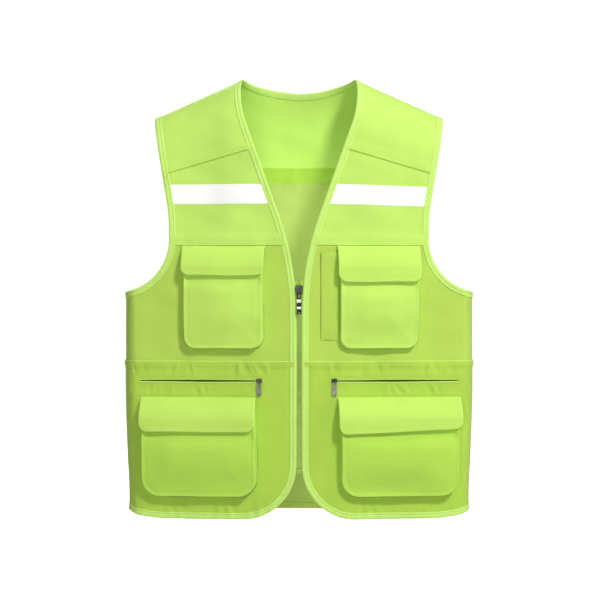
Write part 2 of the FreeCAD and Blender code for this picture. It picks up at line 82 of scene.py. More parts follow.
def unroll(points, front):
    """Places seen from the front, (x, z), as pattern places (a, t)."""
    points = np.asarray(points, float)
    out, z = np.abs(points[:, 0]), points[:, 1]
    x = np.minimum(out, FLAT_HALF)
    depth, top = depth_at(x, front), ridge(x) - CROWN
    climb = np.arcsin(np.clip((z - top) / CROWN, 0, 1)) * 2 / math.pi
    turn = np.arcsin(np.clip((out - FLAT_HALF) / SIDE_ROUND, 0, 1)) * 2 / math.pi
    a = x + turn * quarter_length(depth, SIDE_ROUND)
    t = np.where(z > top, top + climb * quarter_length(depth, CROWN), z)
    return np.stack([a * np.where(points[:, 0] < 0, -1, 1), t], -1)


def form(a, t, lift, front):
    """Pattern places carried onto the form, grown by lift, in metres."""
    out = np.abs(a)
    x = np.minimum(out, FLAT_HALF)
    depth, top = depth_at(x, front), ridge(x) - CROWN
    climb = np.clip((t - top) / quarter_length(depth, CROWN), 0, 1) * math.pi / 2
    turn = np.clip((out - FLAT_HALF) / quarter_length(depth, SIDE_ROUND), 0, 1) * math.pi / 2
    across = np.where(out > FLAT_HALF, FLAT_HALF + (SIDE_ROUND + lift) * np.sin(turn), x)
    y = (depth + lift) * np.cos(climb) * np.cos(turn) * (-1 if front else 1)
    z = np.where(t > top, top + (CROWN + lift) * np.sin(climb), t)
    return np.stack([across * np.where(a < 0, -1, 1), y, z], -1) / 1000


SIDE_A = {True: unroll([(SIDE_X, -500)], True)[0, 0], False: unroll([(SIDE_X, -500)], False)[0, 0]}
print("pattern half widths, mm", SIDE_A)

# %% [markdown]
# Sewn cloth is never quite flat. Wide, low swells come from how it hangs, and short puckers stand
# along each seam, where the thread has drawn the cloth in. Both could be simulated, but a seam's
# puckers are finer than a cloth solver's grid, so they are added as seeded waves. All pieces read
# the same field, so tape, binding and panel move together. It dies away where zips need a true
# line.

# %% Swells and puckers
def smooth(value, low, high):
    """0 below low, 1 above high, with an easy change between."""
    part = np.clip((value - low) / (high - low), 0, 1)
    return part * part * (3 - 2 * part)


def swell(a, t, seed, wavelength):
    """A smooth random field of about -1 to 1."""
    dice = np.random.default_rng(seed)
    total = 0.0
    for _ in range(7):
        angle, phase = dice.uniform(0, math.pi), dice.uniform(0, 2 * math.pi)
        k = 2 * math.pi / (wavelength * dice.uniform(0.7, 1.6))
        total = total + np.sin(k * (a * math.cos(angle) + t * math.sin(angle)) + phase)
    return total / 3.2


def puckers(along, off, reach, seed, pitch=11.0):
    """Short folds across a seam: along it in mm, and off it on one side."""
    dice = np.random.default_rng(seed)
    slanted = along + 0.5 * off * swell(along, 0 * along, seed + 2, 60.0)
    wave = sum(np.sin(2 * math.pi * slanted / (pitch * dice.uniform(0.8, 2.4)) + dice.uniform(0, 6)) for _ in range(5))
    strength = np.clip(0.45 + 0.8 * swell(along, 0 * along, seed + 1, 55.0), 0.05, 1.3)
    return wave / 2.5 * strength * np.exp(-(off / reach) ** 2)


CHEST_SEAM, WAIST_SEAM, SLIT, BACK_SEAM = -264.0, -443.0, -474.0, -168.0


def relief(a, t, front):
    """How far the cloth stands off its form, in mm; the front and back agree where they meet."""
    out = np.abs(a)
    x = np.minimum(out, FLAT_HALF)
    climb = (t - ridge(x) + CROWN) / quarter_length(depth_at(x, front), CROWN)
    meeting = (1 - smooth(climb, 0.35, 0.9)) * (1 - smooth(out, FLAT_HALF - 2, FLAT_HALF + 46))
    taper = 5.5 * smooth(-t, 470, 690) * smooth(out, FLAT_HALF - 14, FLAT_HALF + 14)
    height = 1.9 * swell(a * 1.6, t * 0.6, 3 if front else 4, 130.0) + 0.6 * swell(a, t, 5, 48.0)
    if front:
        fine = 1.2 * puckers(a, t - HEM - 13, 12.0, 6) * smooth(out, 30, 60)
        fine = fine + 1.6 * puckers(a, t - WAIST_SEAM + 12, 9.0, 7) * smooth(out, 22, 50)
        fine = fine + 1.5 * puckers(a, t - SLIT + 15.0, 6.0, 8) * smooth(out, 64, 80)
        fine = fine + 0.3 * puckers(a, t - CHEST_SEAM - 4, 6.0, 9)
        fine = fine + 0.5 * puckers(a, t - yoke_seam(a) + 3, 9.0, 15, 17.0)
        height = height * smooth(out, 18, 70) * (1 - 0.85 * smooth(out, 30, 42) * smooth(-np.abs(t - SLIT), -34, -9))
        height = height + fine * smooth(out, 20, 34)
    else:
        height = 1.3 * height + 0.5 * puckers(a, t - HEM - 12, 12.0, 10) + 0.35 * puckers(a, t - BACK_SEAM, 9.0, 11)
        height = height + 1.7 * puckers(a, t + 150.0, 15.0, 12, 24.0)
    return height * meeting - taper


def yoke_seam(x):
    """Height of the yoke's slanted front seam."""
    out = np.abs(x)
    return -115.0 - 0.306 * (out - 80.0) - 3.0 * (1 - smooth(out, 66, 132)) + 0.8 * np.sin(out / 17.0)


def skin(a, t, lift, front):
    """Pattern places on the filled vest; near the side seams the hem hangs a little higher."""
    rise = 9.0 * smooth(np.abs(a), 205, 292) * smooth(-t, 560, 690)
    return form(a, t + rise, lift + relief(a, t, front), front)


# %% [markdown]
# Seams and cut edges are drawn as runs: lines on the pattern that are walked by their length. A
# panel fills the space between four of them. An edge that is bound or lapped ends a little inside
# its cover, as real cloth does.

# %% Runs on the pattern
class Run:
    """A line through points, walked from 0 to 1 by its length."""

    def __init__(self, points):
        self.points = np.asarray(points, float)
        steps = np.linalg.norm(np.diff(self.points, axis=0), axis=1)
        self.marks = np.concatenate([[0.0], np.cumsum(steps)])
        self.length = self.marks[-1]

    def at(self, share):
        return np.stack([np.interp(share * self.length, self.marks, column) for column in self.points.T], -1)

    def even(self, step=1.0):
        return Run(self.at(np.linspace(0, 1, max(int(self.length / step), 2) + 1)))

    def part(self, low, high):
        """From low to high, in mm along it; backwards if high is the smaller."""
        count = max(int(abs(high - low)), 2) + 1
        return Run(self.at(np.linspace(low, high, count) / self.length))

    def keep(self, test):
        return Run(self.points[test(self.points[:, 0], self.points[:, 1])])

    def moved(self, distance):
        """The same line, distance mm to its right."""
        way = np.gradient(self.points, axis=0)
        way /= np.linalg.norm(way, axis=1)[:, None]
        return Run(self.points + np.stack([way[:, 1], -way[:, 0]], -1) * distance)

    def mirrored(self):
        other = Run(self.points * [-1, 1])
        other.marks, other.length = self.marks, self.length
        return other

    def back(self):
        return Run(self.points[::-1])


def rounded(corners):
    """A run through corners (x, z, radius), each one cut by an arc that touches both its sides."""
    points = [np.array(corners[0][:2], float)]
    for before, corner, after in zip(corners, corners[1:], corners[2:]):
        at = np.array(corner[:2], float)
        into, out = at - before[:2], np.array(after[:2]) - at
        into, out = into / np.linalg.norm(into), out / np.linalg.norm(out)
        half_turn = math.acos(np.clip(into @ out, -1, 1)) / 2
        reach = corner[2] * math.tan(half_turn)
        for share in np.linspace(0, 1, 33):
            weights = (1 - share) ** 2, 2 * math.cos(half_turn) * share * (1 - share), share ** 2
            sides = at - into * reach, at, at + out * reach
            points.append(sum(w * p for w, p in zip(weights, sides)) / sum(weights))
    points.append(np.array(corners[-1][:2], float))
    return Run(points).even(0.5)


def straight(start, end):
    return Run([start, end]).even()


def on_form(x, z):
    return (z <= ridge(x)) & (np.abs(x) <= SIDE_X)


# %% The vest's cut edges
CORNER, CENTRE_GAP = 84.0, 4.25
armhole_seen = rounded([(249.0, 60.0), (202.0, -215.0, 260.0), (201.0, -321.4, 82.0), (303.0, -342.2)]).keep(on_form)
front_seen = rounded([(84.0, 60.0), (93.5, -42.0, 160.0), (CENTRE_GAP, -294.0, 450.0), (CENTRE_GAP, HEM, CORNER),
                      (303.0, HEM)]).keep(on_form)
neck_seen = rounded([(89.2, 5.0), (89.6, 0.4, 6.0), (44.0, -13.6, 270.0), (-44.0, -13.6, 270.0), (-89.6, 0.4, 6.0),
                     (-89.2, 5.0)]).keep(on_form)
ARMHOLE = {side: Run(unroll(armhole_seen.points, side)) for side in (True, False)}
FRONT_EDGE = Run(unroll(front_seen.points, True))
NECK_EDGE = Run(unroll(neck_seen.points, False))
BACK_HEM = straight((SIDE_A[False], HEM), (-SIDE_A[False], HEM))
print("cut edges, mm: armhole", round(ARMHOLE[True].length + ARMHOLE[False].length), "front",
      round(FRONT_EDGE.length), "neck", round(NECK_EDGE.length))

# %% [markdown]
# Every cloth piece is woven from grids. An operator makes a flat grid, and its points are then
# laid in place, once for the outer face and once for the inner one. The faces meet in a rounded
# edge, as a folded cloth edge does, and the two are welded there. The pattern place is kept as the
# piece's UV map, in metres, so the weave is the right size, and how near a point is to a fold is
# kept too. The cloths use it to paint a lighter colour along folded edges, a painted highlight,
# and on the yoke a darker colour along its edges, a painted shade.

# %% Cloth from grids
def piece_from(bm, name, body=None, smooth_shaded=True):
    """A finished bmesh as an object in the scene, riding on a body."""
    for face in bm.faces:
        face.smooth = smooth_shaded
    mesh = bpy.data.meshes.new(name)
    bm.to_mesh(mesh)
    bm.free()
    piece = bpy.data.objects.new(name, mesh)
    bpy.context.scene.collection.objects.link(piece)
    if body:
        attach(piece, body)
    return piece


def two_faces(us, vs, place):
    """The outer and inner sheet of one cloth; place also takes 1 for outer or -1 for inner."""
    return [(us, vs, lambda u, v: place(1, u, v)), (us, vs, lambda u, v: place(-1, u, v))]


def stations(length, step, low=True, high=True, fine=()):
    """Places from 0 to 1 along length, step mm apart, closer at rounded ends and in fine stretches."""
    marks = set(np.round(np.linspace(0, length, max(int(length / step), 2) + 1), 3))
    if low:
        marks |= {0.15, 0.5, 1.1}
    if high:
        marks |= {length - 0.15, length - 0.5, length - 1.1}
    for start, end, gap in fine:
        marks = {m for m in marks if not start < m < end} | set(np.arange(start, end + gap / 2, gap))
    marks = sorted(marks)
    kept = [m for i, m in enumerate(marks) if i == 0 or m - marks[i - 1] > 0.08]
    return np.array(kept) / max(kept)


def rounded_edge(distance, radius=1.0):
    """0 at a cloth edge and 1 inside it, along a quarter circle."""
    return np.sqrt(1 - (1 - np.clip((distance - 0.02) / radius, 0, 1)) ** 2)


def weave(name, sheets, body="vest", fill=False):
    """One mesh from sheets (us, vs, place), welded; place gives points, pattern mm and nearness to a fold."""
    bm = bmesh.new()
    uv = bm.loops.layers.uv.new("cloth")
    fold = bm.verts.layers.float.new("fold")
    for us, vs, place in sheets:
        made = bmesh.ops.create_grid(bm, x_segments=len(us) - 1, y_segments=len(vs) - 1, size=0.5)["verts"]
        grid = np.array([vert.co[:2] for vert in made]) + 0.5
        i, j = np.rint(grid[:, 0] * (len(us) - 1)).astype(int), np.rint(grid[:, 1] * (len(vs) - 1)).astype(int)
        points, flat, near = place(us[i], vs[j])
        chart = {}
        for vert, point, spot, amount in zip(made, points.tolist(), (flat / 1000).tolist(), near.tolist()):
            vert.co = point
            vert[fold] = amount
            chart[vert] = spot
        for face in {face for vert in made for face in vert.link_faces}:
            for loop in face.loops:
                loop[uv].uv = chart[loop.vert]
    bmesh.ops.remove_doubles(bm, verts=bm.verts[:], dist=3e-6)
    if fill:
        bmesh.ops.holes_fill(bm, edges=[edge for edge in bm.edges if edge.is_boundary], sides=0)
    bmesh.ops.recalc_face_normals(bm, faces=bm.faces[:])
    return piece_from(bm, name, body)


def finish(piece, material, slot, *nodes):
    piece.data.materials.append(material)
    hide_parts(*nodes)
    return piece


# %% Panels between four runs
def between(left, right, low, high):
    """A function that fills the space between four runs: left and right climb, low and high go across."""
    def fill(u, v):
        u, v = u[:, None], v[:, None]
        sides = (1 - u) * left.at(v[:, 0]) + u * right.at(v[:, 0])
        ends = (1 - v) * low.at(u[:, 0]) + v * high.at(u[:, 0])
        corners = ((1 - u) * (1 - v) * low.at(0.0) + u * (1 - v) * low.at(1.0)
                   + (1 - u) * v * high.at(0.0) + u * v * high.at(1.0))
        return sides + ends - corners
    return fill


def slit_gape(a):
    """Half the height of the zip pocket's slit, widest in its middle."""
    return 1.6 * np.clip(1 - np.abs(np.abs(a) - 149) / 190, 0.4, 1)


def panel_sheets(runs, front, us, vs, rims, lift=None, slit=None, wall=1.0):
    """Outer and inner sheet of a panel; rims says which of left, right, low and high end in a rounded edge."""
    left, right, low, high = runs
    fill = between(left, right, low, high)

    def place(face, u, v):
        spot = fill(u, v)
        width = np.linalg.norm(right.at(v) - left.at(v), axis=1)
        tall = np.linalg.norm(high.at(u) - low.at(u), axis=1)
        gaps = [gap for gap, rim in zip((u * width, (1 - u) * width, v * tall, (1 - v) * tall), rims) if rim]
        edge = np.min(gaps, axis=0) if gaps else np.full(len(u), 99.0)
        if slit:
            lip = np.abs(spot[:, 1] - SLIT) - slit_gape(spot[:, 0])
            edge = np.where(slit(spot[:, 0]), np.minimum(edge, lip), edge)
        extra = lift(spot[:, 0], spot[:, 1]) if lift else 0.0
        height = wall / 2 + face * wall / 2 * rounded_edge(edge, 0.9)
        return skin(spot[:, 0], spot[:, 1], height + extra, front), spot, np.exp(-(edge / 1.4) ** 2)

    return two_faces(us, vs, place)


def cut_from(piece, *cuts, held="hung", on=(), size=None):
    area, points = 0.0, []
    for left, right, low, high in cuts:
        outline = np.concatenate([left.points, high.points, right.back().points, low.back().points]) / 1000
        x, y = outline.T
        area += abs(np.dot(x, np.roll(y, -1)) - np.dot(y, np.roll(x, -1))) / 2
        points.append(outline)
    width, length = size or np.ptp(np.concatenate(points), axis=0).tolist()
    print(piece.name, "cut, m:", round(width, 3), round(length, 3), "area", round(float(area), 4))
    list(on)
    float(min(area, width * length))


# %% [markdown]
# Finishes come next, so that each piece can take its own as it is made. Number sockets are wrapped
# in a small class, so a pattern reads as a formula. The cloth is a plain weave of fine yarn: two
# sets of rounded threads that pass over and under each other by turns. It is drawn from the UV map
# as bump, and as painted shade: the colour is made darker where the threads dip, for the shade
# that falls between them.

# %% A socket that takes sums
class Socket:
    def __init__(self, tree, socket):
        self.tree, self.socket = tree, socket

    def node(self, kind, inputs=None, output=0, **settings):
        """Any node: its settings first, then the values or links of its sockets."""
        made = self.tree.nodes.new(kind)
        for stop, (place, color) in enumerate(settings.pop("stops", ())):
            point = made.color_ramp.elements[stop]
            point.position, point.color = place, color
        for key, value in settings.items():
            setattr(made, key, value)
        for key, value in (inputs or {}).items():
            if isinstance(value, Socket):
                self.tree.links.new(value.socket, made.inputs[key])
            else:
                made.inputs[key].default_value = value
        return Socket(self.tree, made.outputs[output])

    def math(self, operation, first, second=0.0, third=0.0):
        return self.node("ShaderNodeMath", {0: first, 1: second, 2: third}, operation=operation)

    def __add__(self, other): return self.math("ADD", self, other)
    def __radd__(self, other): return self.math("ADD", other, self)
    def __sub__(self, other): return self.math("SUBTRACT", self, other)
    def __rsub__(self, other): return self.math("SUBTRACT", other, self)
    def __mul__(self, other): return self.math("MULTIPLY", self, other)
    def __rmul__(self, other): return self.math("MULTIPLY", other, self)
    def __truediv__(self, other): return self.math("DIVIDE", self, other)
    def floor(self): return self.math("FLOOR", self)
    def fraction(self): return self.math("FRACT", self)
    def sine(self): return self.math("SINE", self)
    def root(self): return self.math("SQRT", self)
    def odd(self): return self.math("MODULO", self.math("ABSOLUTE", self), 2.0)

    def step(self, low, high):
        """0 at low, 1 at high, eased; low may be the larger."""
        return self.node("ShaderNodeMapRange", {"Value": self, "From Min": low, "From Max": high},
                         interpolation_type="SMOOTHSTEP")

    def mixed(self, first, second):
        """Colour first where this is 0, second where it is 1."""
        return self.node("ShaderNodeMix", {0: self, 6: first, 7: second}, output=2, data_type="RGBA")


def material(name, color, **values):
    """A Principled material, the tree's first socket, and a function that links sockets to the shader."""
    made = bpy.data.materials.new(name)
    made.use_nodes = True
    tree = made.node_tree
    shader = next(node for node in tree.nodes if node.type == "BSDF_PRINCIPLED")
    shader.inputs["Base Color"].default_value = (*color, 1)
    for key, value in values.items():
        shader.inputs[key.replace("_", " ")].default_value = value

    def link(key, socket):
        tree.links.new(socket.socket, shader.inputs[key])

    return made, Socket(tree, None), link


def srgb(red, green, blue):
    """A colour in linear light from its 0 to 255 display values."""
    shares = (red / 255, green / 255, blue / 255)
    return tuple(c / 12.92 if c <= 0.04045 else ((c + 0.055) / 1.055) ** 2.4 for c in shares)


def opaque(color):
    return (*color, 1.0)


# %% Cloths
def cloth(name, color, pitch=0.8, painted_hole_shade=0.0, painted_fold_shading=None, painted_shade_band=None, ribs=False, rough=0.82):
    """Woven cloth of one colour, painted a little darker where its threads dip, as painted shade between them. The hole
    amount paints dark dots in a light knit, painted shade of the inside seen through its openings; the band paints a
    darker stripe on the back, also painted shade; the fold colour is painted along folded edges, where lighter as
    painted highlight and where darker as painted shade. Ribs turns it into tape.
    """
    made, start, link = material(name, color, Roughness=rough, Specular_IOR_Level=0.22, Sheen_Weight=0.12,
                                 Sheen_Roughness=0.5)
    place = start.node("ShaderNodeUVMap", uv_map="cloth")
    across = start.node("ShaderNodeSeparateXYZ", {0: place}, 0) * (1000 / pitch)
    along = start.node("ShaderNodeSeparateXYZ", {0: place}, 1) * (1000 / pitch)
    warp = (across.fraction() * math.pi).sine()
    weft = (along.fraction() * math.pi).sine()
    over = (across.floor() + along.floor()).odd()
    if ribs:
        height = warp * 0.9 + weft * 0.15
    else:
        height = over * (warp * 0.75 + weft * 0.25) + (1 - over) * (weft * 0.75 + warp * 0.25)
    body = start.node("ShaderNodeTexCoord", output=3)
    cloudy = start.node("ShaderNodeTexNoise", {"Vector": body, "Scale": 14.0, "Detail": 3.0}, noise_dimensions="3D")
    slub = start.node("ShaderNodeTexNoise", {"Vector": body, "Scale": 420.0, "Detail": 2.0})
    # Painted shade: the weave's dips are coloured darker.
    painted_thread_shade = tuple(c * 0.80 for c in color)
    light = tuple(min(c * 1.05, 1.0) for c in color)
    shade = height.step(0.0, 0.75).mixed(opaque(painted_thread_shade), opaque(color))
    shade = (cloudy.step(0.35, 0.7) * 0.55).mixed(shade, opaque(light))
    # Painted shade: the open knit is drawn as dark dots that stand for the shaded inside seen through its holes; the
    # holes are pressed into the bump as well.
    if painted_hole_shade:
        row = (along * (pitch / 1.5)).floor()
        hole_a = (across * (pitch / 1.7) + row.odd() * 0.5).fraction() - 0.5
        hole_t = (along * (pitch / 1.5)).fraction() - 0.5
        hole = (hole_a * hole_a + hole_t * hole_t).root().step(0.34, 0.2)
        shade = (hole * painted_hole_shade).mixed(shade, opaque(tuple(c * 0.42 for c in color)))
        height = height * 0.5 - hole * 1.2
    # Painted shade: a darker stripe across the back between two heights, where the reflective tape outside keeps light
    # from passing through; it is painted on both faces of the cloth.
    if painted_shade_band:
        low, high, soft, band_shade_color = painted_shade_band
        rear = start.node("ShaderNodeSeparateXYZ", {0: body}, 1).step(-0.004, 0.004)
        upright = start.node("ShaderNodeSeparateXYZ", {0: body}, 2)
        shade = (upright.step(low - soft, low) * upright.step(high + soft, high) * rear).mixed(shade, opaque(band_shade_color))
    # Painted highlight and painted shade: near folded edges the colour is mixed towards the fold colour, lighter on
    # most cloths and darker on the yoke.
    if painted_fold_shading:
        fold = start.node("ShaderNodeAttribute", attribute_name="fold", output=2)
        shade = (fold.step(0.1, 0.95) * 0.85).mixed(shade, opaque(painted_fold_shading))
    link("Base Color", shade)
    link("Roughness", rough - 0.12 * slub.step(0.4, 0.75))
    link("Normal", start.node("ShaderNodeBump", {"Height": height + slub * 0.5, "Strength": 0.35, "Distance": 0.00022}))
    return made


# Painted highlight: a lighter green mixed in along folded edges.
PAINTED_FOLD_HIGHLIGHT = srgb(218, 252, 130)
SOLID = cloth("solid_cloth", srgb(200, 241, 112), painted_fold_shading=PAINTED_FOLD_HIGHLIGHT)
# The yoke's fold colour is darker than its cloth: painted shade along its lapped seams. Its band is painted shade too:
# a darker stripe across the back, where the reflective tape outside keeps light from coming through the cloth.
YOKE = cloth("yoke_cloth", srgb(200, 241, 112), painted_fold_shading=srgb(158, 202, 66),
             painted_shade_band=(-0.172, -0.136, 0.003, srgb(172, 214, 76)))
# The lower panels and lower pockets are darker than the chest: partly their own colour, partly painted shade for the
# light falling off towards the hem.
LOWER = cloth("lower_cloth", srgb(184, 223, 84), painted_fold_shading=PAINTED_FOLD_HIGHLIGHT)
LOWER_POCKET = cloth("lower_pocket_cloth", srgb(189, 233, 90), painted_fold_shading=PAINTED_FOLD_HIGHLIGHT)
LIGHT = cloth("light_cloth", srgb(197, 232, 98), painted_hole_shade=0.45, pitch=0.55)
# The back's light cloth is duller than the front's: partly painted shade, for the shaded inside of the back seen
# through the neck, and partly a guess at its own colour.
BACK_LIGHT = cloth("back_light_cloth", srgb(186, 210, 106), painted_hole_shade=0.45, pitch=0.55)
POCKET = cloth("pocket_cloth", srgb(202, 242, 108), painted_fold_shading=PAINTED_FOLD_HIGHLIGHT)
BINDING = cloth("binding_cloth", srgb(206, 246, 126), pitch=0.7, painted_fold_shading=PAINTED_FOLD_HIGHLIGHT)
# The back hem binding is darker than the other bindings: painted shade for the shade inside the vest's foot. Its
# lighter fold colour is a painted highlight.
HEM_BINDING_PAINTED_SHADE = cloth("hem_binding_cloth", srgb(184, 206, 92), pitch=0.7, painted_fold_shading=srgb(196, 218, 100))
ZIP_TAPE = cloth("zip_tape", srgb(186, 228, 84), pitch=0.9, ribs=True)
LINING = cloth("lining", srgb(190, 228, 96), pitch=0.5)
HOOK = cloth("hook_tape", srgb(178, 214, 76), pitch=0.9, ribs=True, rough=0.6)
LOOP = cloth("loop_tape", srgb(184, 222, 84), pitch=0.6)
print("cloths:", [m.name for m in bpy.data.materials if "cloth" in m.name])

# %% Reflective tape, thread, nylon and metal
def reflective():
    """Glass beads in a grey-white binder: very pale, with a fine grain and faint scuffs, and a faint white emission
    that is a painted glow for the light the beads send back.
    """
    # Painted glow: a faint white emission on the tape.
    made, start, link = material("reflective_tape", srgb(250, 251, 252), Specular_IOR_Level=0.5,
                                 Emission_Color=(1, 1, 1, 1), Emission_Strength=0.1)
    place = start.node("ShaderNodeUVMap", uv_map="cloth")
    beads = start.node("ShaderNodeTexVoronoi", {"Vector": place, "Scale": 3200.0})
    scuff = start.node("ShaderNodeTexNoise", {"Vector": place, "Scale": 26.0, "Detail": 5.0, "Distortion": 0.6})
    color = (scuff.step(0.56, 0.74) * 0.5).mixed(opaque(srgb(253, 253, 254)), opaque(srgb(232, 234, 236)))
    link("Base Color", (beads.step(0.25, 0.6) * 0.12).mixed(color, opaque(srgb(205, 208, 212))))
    link("Roughness", 0.34 + 0.2 * scuff.step(0.3, 0.7))
    link("Normal", start.node("ShaderNodeBump", {"Height": 1 - beads, "Strength": 0.25, "Distance": 0.00008}))
    return made


def plain(name, color, rough, grain=600.0, **values):
    """Moulded nylon, thread or plated metal, with a fine uneven grain."""
    made, start, link = material(name, color, **values)
    body = start.node("ShaderNodeTexCoord", output=3)
    noise = start.node("ShaderNodeTexNoise", {"Vector": body, "Scale": grain, "Detail": 3.0})
    wear = start.node("ShaderNodeTexNoise", {"Vector": body, "Scale": grain / 8, "Detail": 4.0})
    link("Base Color", wear.step(0.45, 0.7).mixed(opaque(color), opaque(tuple(min(c * 1.25 + 0.01, 1) for c in color))))
    link("Roughness", rough + 0.14 * noise.step(0.3, 0.7))
    link("Normal", start.node("ShaderNodeBump", {"Height": noise, "Strength": 0.2, "Distance": 0.00005}))
    return made


def banded_metal():
    """A gunmetal pull with two raised, smoother bands across it, coloured pale: partly the metal's own finish, partly a
    painted highlight for the light the ridges catch.
    """
    made, start, link = material("banded_metal", srgb(60, 60, 64), Metallic=1.0)
    body = start.node("ShaderNodeTexCoord", output=3)
    height = start.node("ShaderNodeSeparateXYZ", {0: body}, 2)
    upper = height.step(-0.3535, -0.3529) * height.step(-0.3477, -0.3483)
    lower = height.step(-0.3635, -0.3629) * height.step(-0.3591, -0.3597)
    bands_with_painted_glint = upper + lower
    wear = start.node("ShaderNodeTexNoise", {"Vector": body, "Scale": 160.0, "Detail": 4.0})
    # Painted highlight: the raised bands are coloured pale, partly their finish and partly the light they catch.
    link("Base Color", bands_with_painted_glint.mixed(opaque(srgb(58, 58, 62)), opaque(srgb(232, 232, 228))))
    link("Roughness", 0.42 - 0.2 * bands_with_painted_glint + 0.15 * wear.step(0.4, 0.7))
    link("Normal", start.node("ShaderNodeBump", {"Height": bands_with_painted_glint, "Strength": 0.6, "Distance": 0.0003}))
    return made


TAPE = reflective()
BANDED = banded_metal()
THREAD = plain("thread", srgb(206, 246, 112), 0.55, 2500.0, Sheen_Weight=0.2)
PALE_THREAD = plain("pale_thread", srgb(232, 240, 214), 0.55, 2500.0, Sheen_Weight=0.2)
COIL = plain("zip_coil", srgb(200, 218, 136), 0.42, 900.0)
# The pocket zips' coil is coloured dark olive: painted shade, for the shadow down in the slit.
SLIT_COIL_PAINTED_SHADE = plain("pocket_zip_coil", srgb(74, 84, 10), 0.6, 900.0, Specular_IOR_Level=0.15)
NYLON = plain("zip_plastic", srgb(150, 178, 84), 0.4, 500.0)
DARK_METAL = plain("dark_metal", srgb(92, 92, 86), 0.34, 900.0, Metallic=1.0)
# The two pocket pulls are one metal: the left one takes a lighter copy as painted light, the right one a darker copy as
# painted shade.
PULL_METAL_PAINTED_LIT = plain("bright_metal", srgb(186, 186, 178), 0.3, 900.0, Metallic=1.0)
PULL_METAL_PAINTED_SHADE = plain("pull_metal_painted_shade", srgb(136, 134, 124), 0.32, 900.0, Metallic=1.0)

# %% [markdown]
# The panels are laid first. Where two meet, one laps over the other, so its folded edge stands
# about a cloth's thickness proud. The chest panel laps over the light cloth below it, the lower
# panel laps up over the same cloth at the waist, and the yoke laps over both chest and back.

# %% Front panels
TUCK = 2.2
V_INSIDE = FRONT_EDGE.moved(-TUCK)
ARM_INSIDE = {front: ARMHOLE[front].moved(TUCK) for front in (True, False)}


def stretch(run, high, low):
    """The part of a descending run between two heights, or heights that depend on x."""
    top = high if callable(high) else lambda x: high
    foot = low if callable(low) else lambda x: low
    return run.keep(lambda x, z: (z <= top(x)) & (z >= foot(x)) & (x < SIDE_A[True] - 0.2))


def across(left, right):
    """A run from the foot or head of one side to that of another."""
    return straight(tuple(left), tuple(right))


def four_sided(left, right):
    """Runs of a panel between two climbing sides."""
    return left, right, across(left.points[0], right.points[0]), across(left.points[-1], right.points[-1])


def turned(runs, sign):
    """The same panel on the wearer's left or right."""
    return runs if sign > 0 else tuple(run.mirrored() for run in runs)


def side_line(high, low):
    return straight((SIDE_A[True] - 0.2, low), (SIDE_A[True] - 0.2, high))


panels = {}
chest_runs = four_sided(stretch(V_INSIDE, lambda x: yoke_seam(x) + 9, CHEST_SEAM - 0.6).back(),
                        stretch(ARM_INSIDE[True], lambda x: yoke_seam(x) + 9, CHEST_SEAM - 0.6).back())
arm_and_side = np.concatenate([side_line(-341.0, WAIST_SEAM - 8).points,
                               stretch(ARM_INSIDE[True], CHEST_SEAM + 8, -341.0).back().points])
mesh_runs = four_sided(stretch(V_INSIDE, CHEST_SEAM + 8, WAIST_SEAM - 8).back(), Run(arm_and_side).even())


def chest_lift(a, t):
    lap = 1.5 * smooth(-t, -CHEST_SEAM - 22, -CHEST_SEAM - 9)
    return lap - 0.3 * np.exp(-((t - yoke_seam(a) + 2.5) / 2.5) ** 2)


for side, sign in SIDES.items():
    node = "chest_panel_" + side
    sheets = panel_sheets(turned(chest_runs, sign), True, stations(130, 3.0), stations(150, 3.0), (1, 1, 1, 1),
                          chest_lift)
    panels[node] = finish(weave("chest_panel_cloth_" + side, sheets), SOLID, "solid_cloth", node)
    cut_from(panels[node], chest_runs, on=["yoke"])
    node = "front_mesh_panel_" + side
    sheets = panel_sheets(turned(mesh_runs, sign), True, stations(290, 3.2), stations(185, 3.2), (1, 1, 1, 1))
    panels[node] = finish(weave("front_mesh_cloth_" + side, sheets), LIGHT, "light_cloth", node)
    cut_from(panels[node], mesh_runs, on=["chest_panel_" + side])

# %% [markdown]
# The lower panel has a slit for its zip pocket. It is laid as a strip above the slit and a field
# below it. Both share the slit's line, and only along the opening are the two lips parted and
# rounded. The lower lip stands proud like a narrow welt, and the cloth dips below it.

# %% Lower panels with their slits
SLIT_INNER = {"left": 50.0, "right": 57.0}
SLIT_OUTER = 247.0


def slit_open(side):
    return lambda a: (np.abs(a) > SLIT_INNER[side]) & (np.abs(a) < SLIT_OUTER)


def lower_lift(side):
    def lift(a, t):
        out, inner = np.abs(a), SLIT_INNER[side]
        along = smooth(out, inner - 6, inner + 2) * smooth(-out, -SLIT_OUTER - 6, -SLIT_OUTER + 2)
        welt = 0.85 * smooth(t, -479.5, -476.5) * smooth(-t, -SLIT - 1, -SLIT) - 0.25 * np.exp(-((t + 486) / 5) ** 2)
        ridge_line = 0.5 * np.exp(-((t + 495) / 2.2) ** 2)
        upper = 0.35 * np.exp(-((t + 466) / 3.0) ** 2)
        facing = 0.7 * smooth(np.abs(a), 17.6, 19.2) * smooth(t, -640, -600)
        return 1.3 * smooth(t, WAIST_SEAM - 14, WAIST_SEAM - 6) + facing + along * (welt + ridge_line + upper)
    return lift


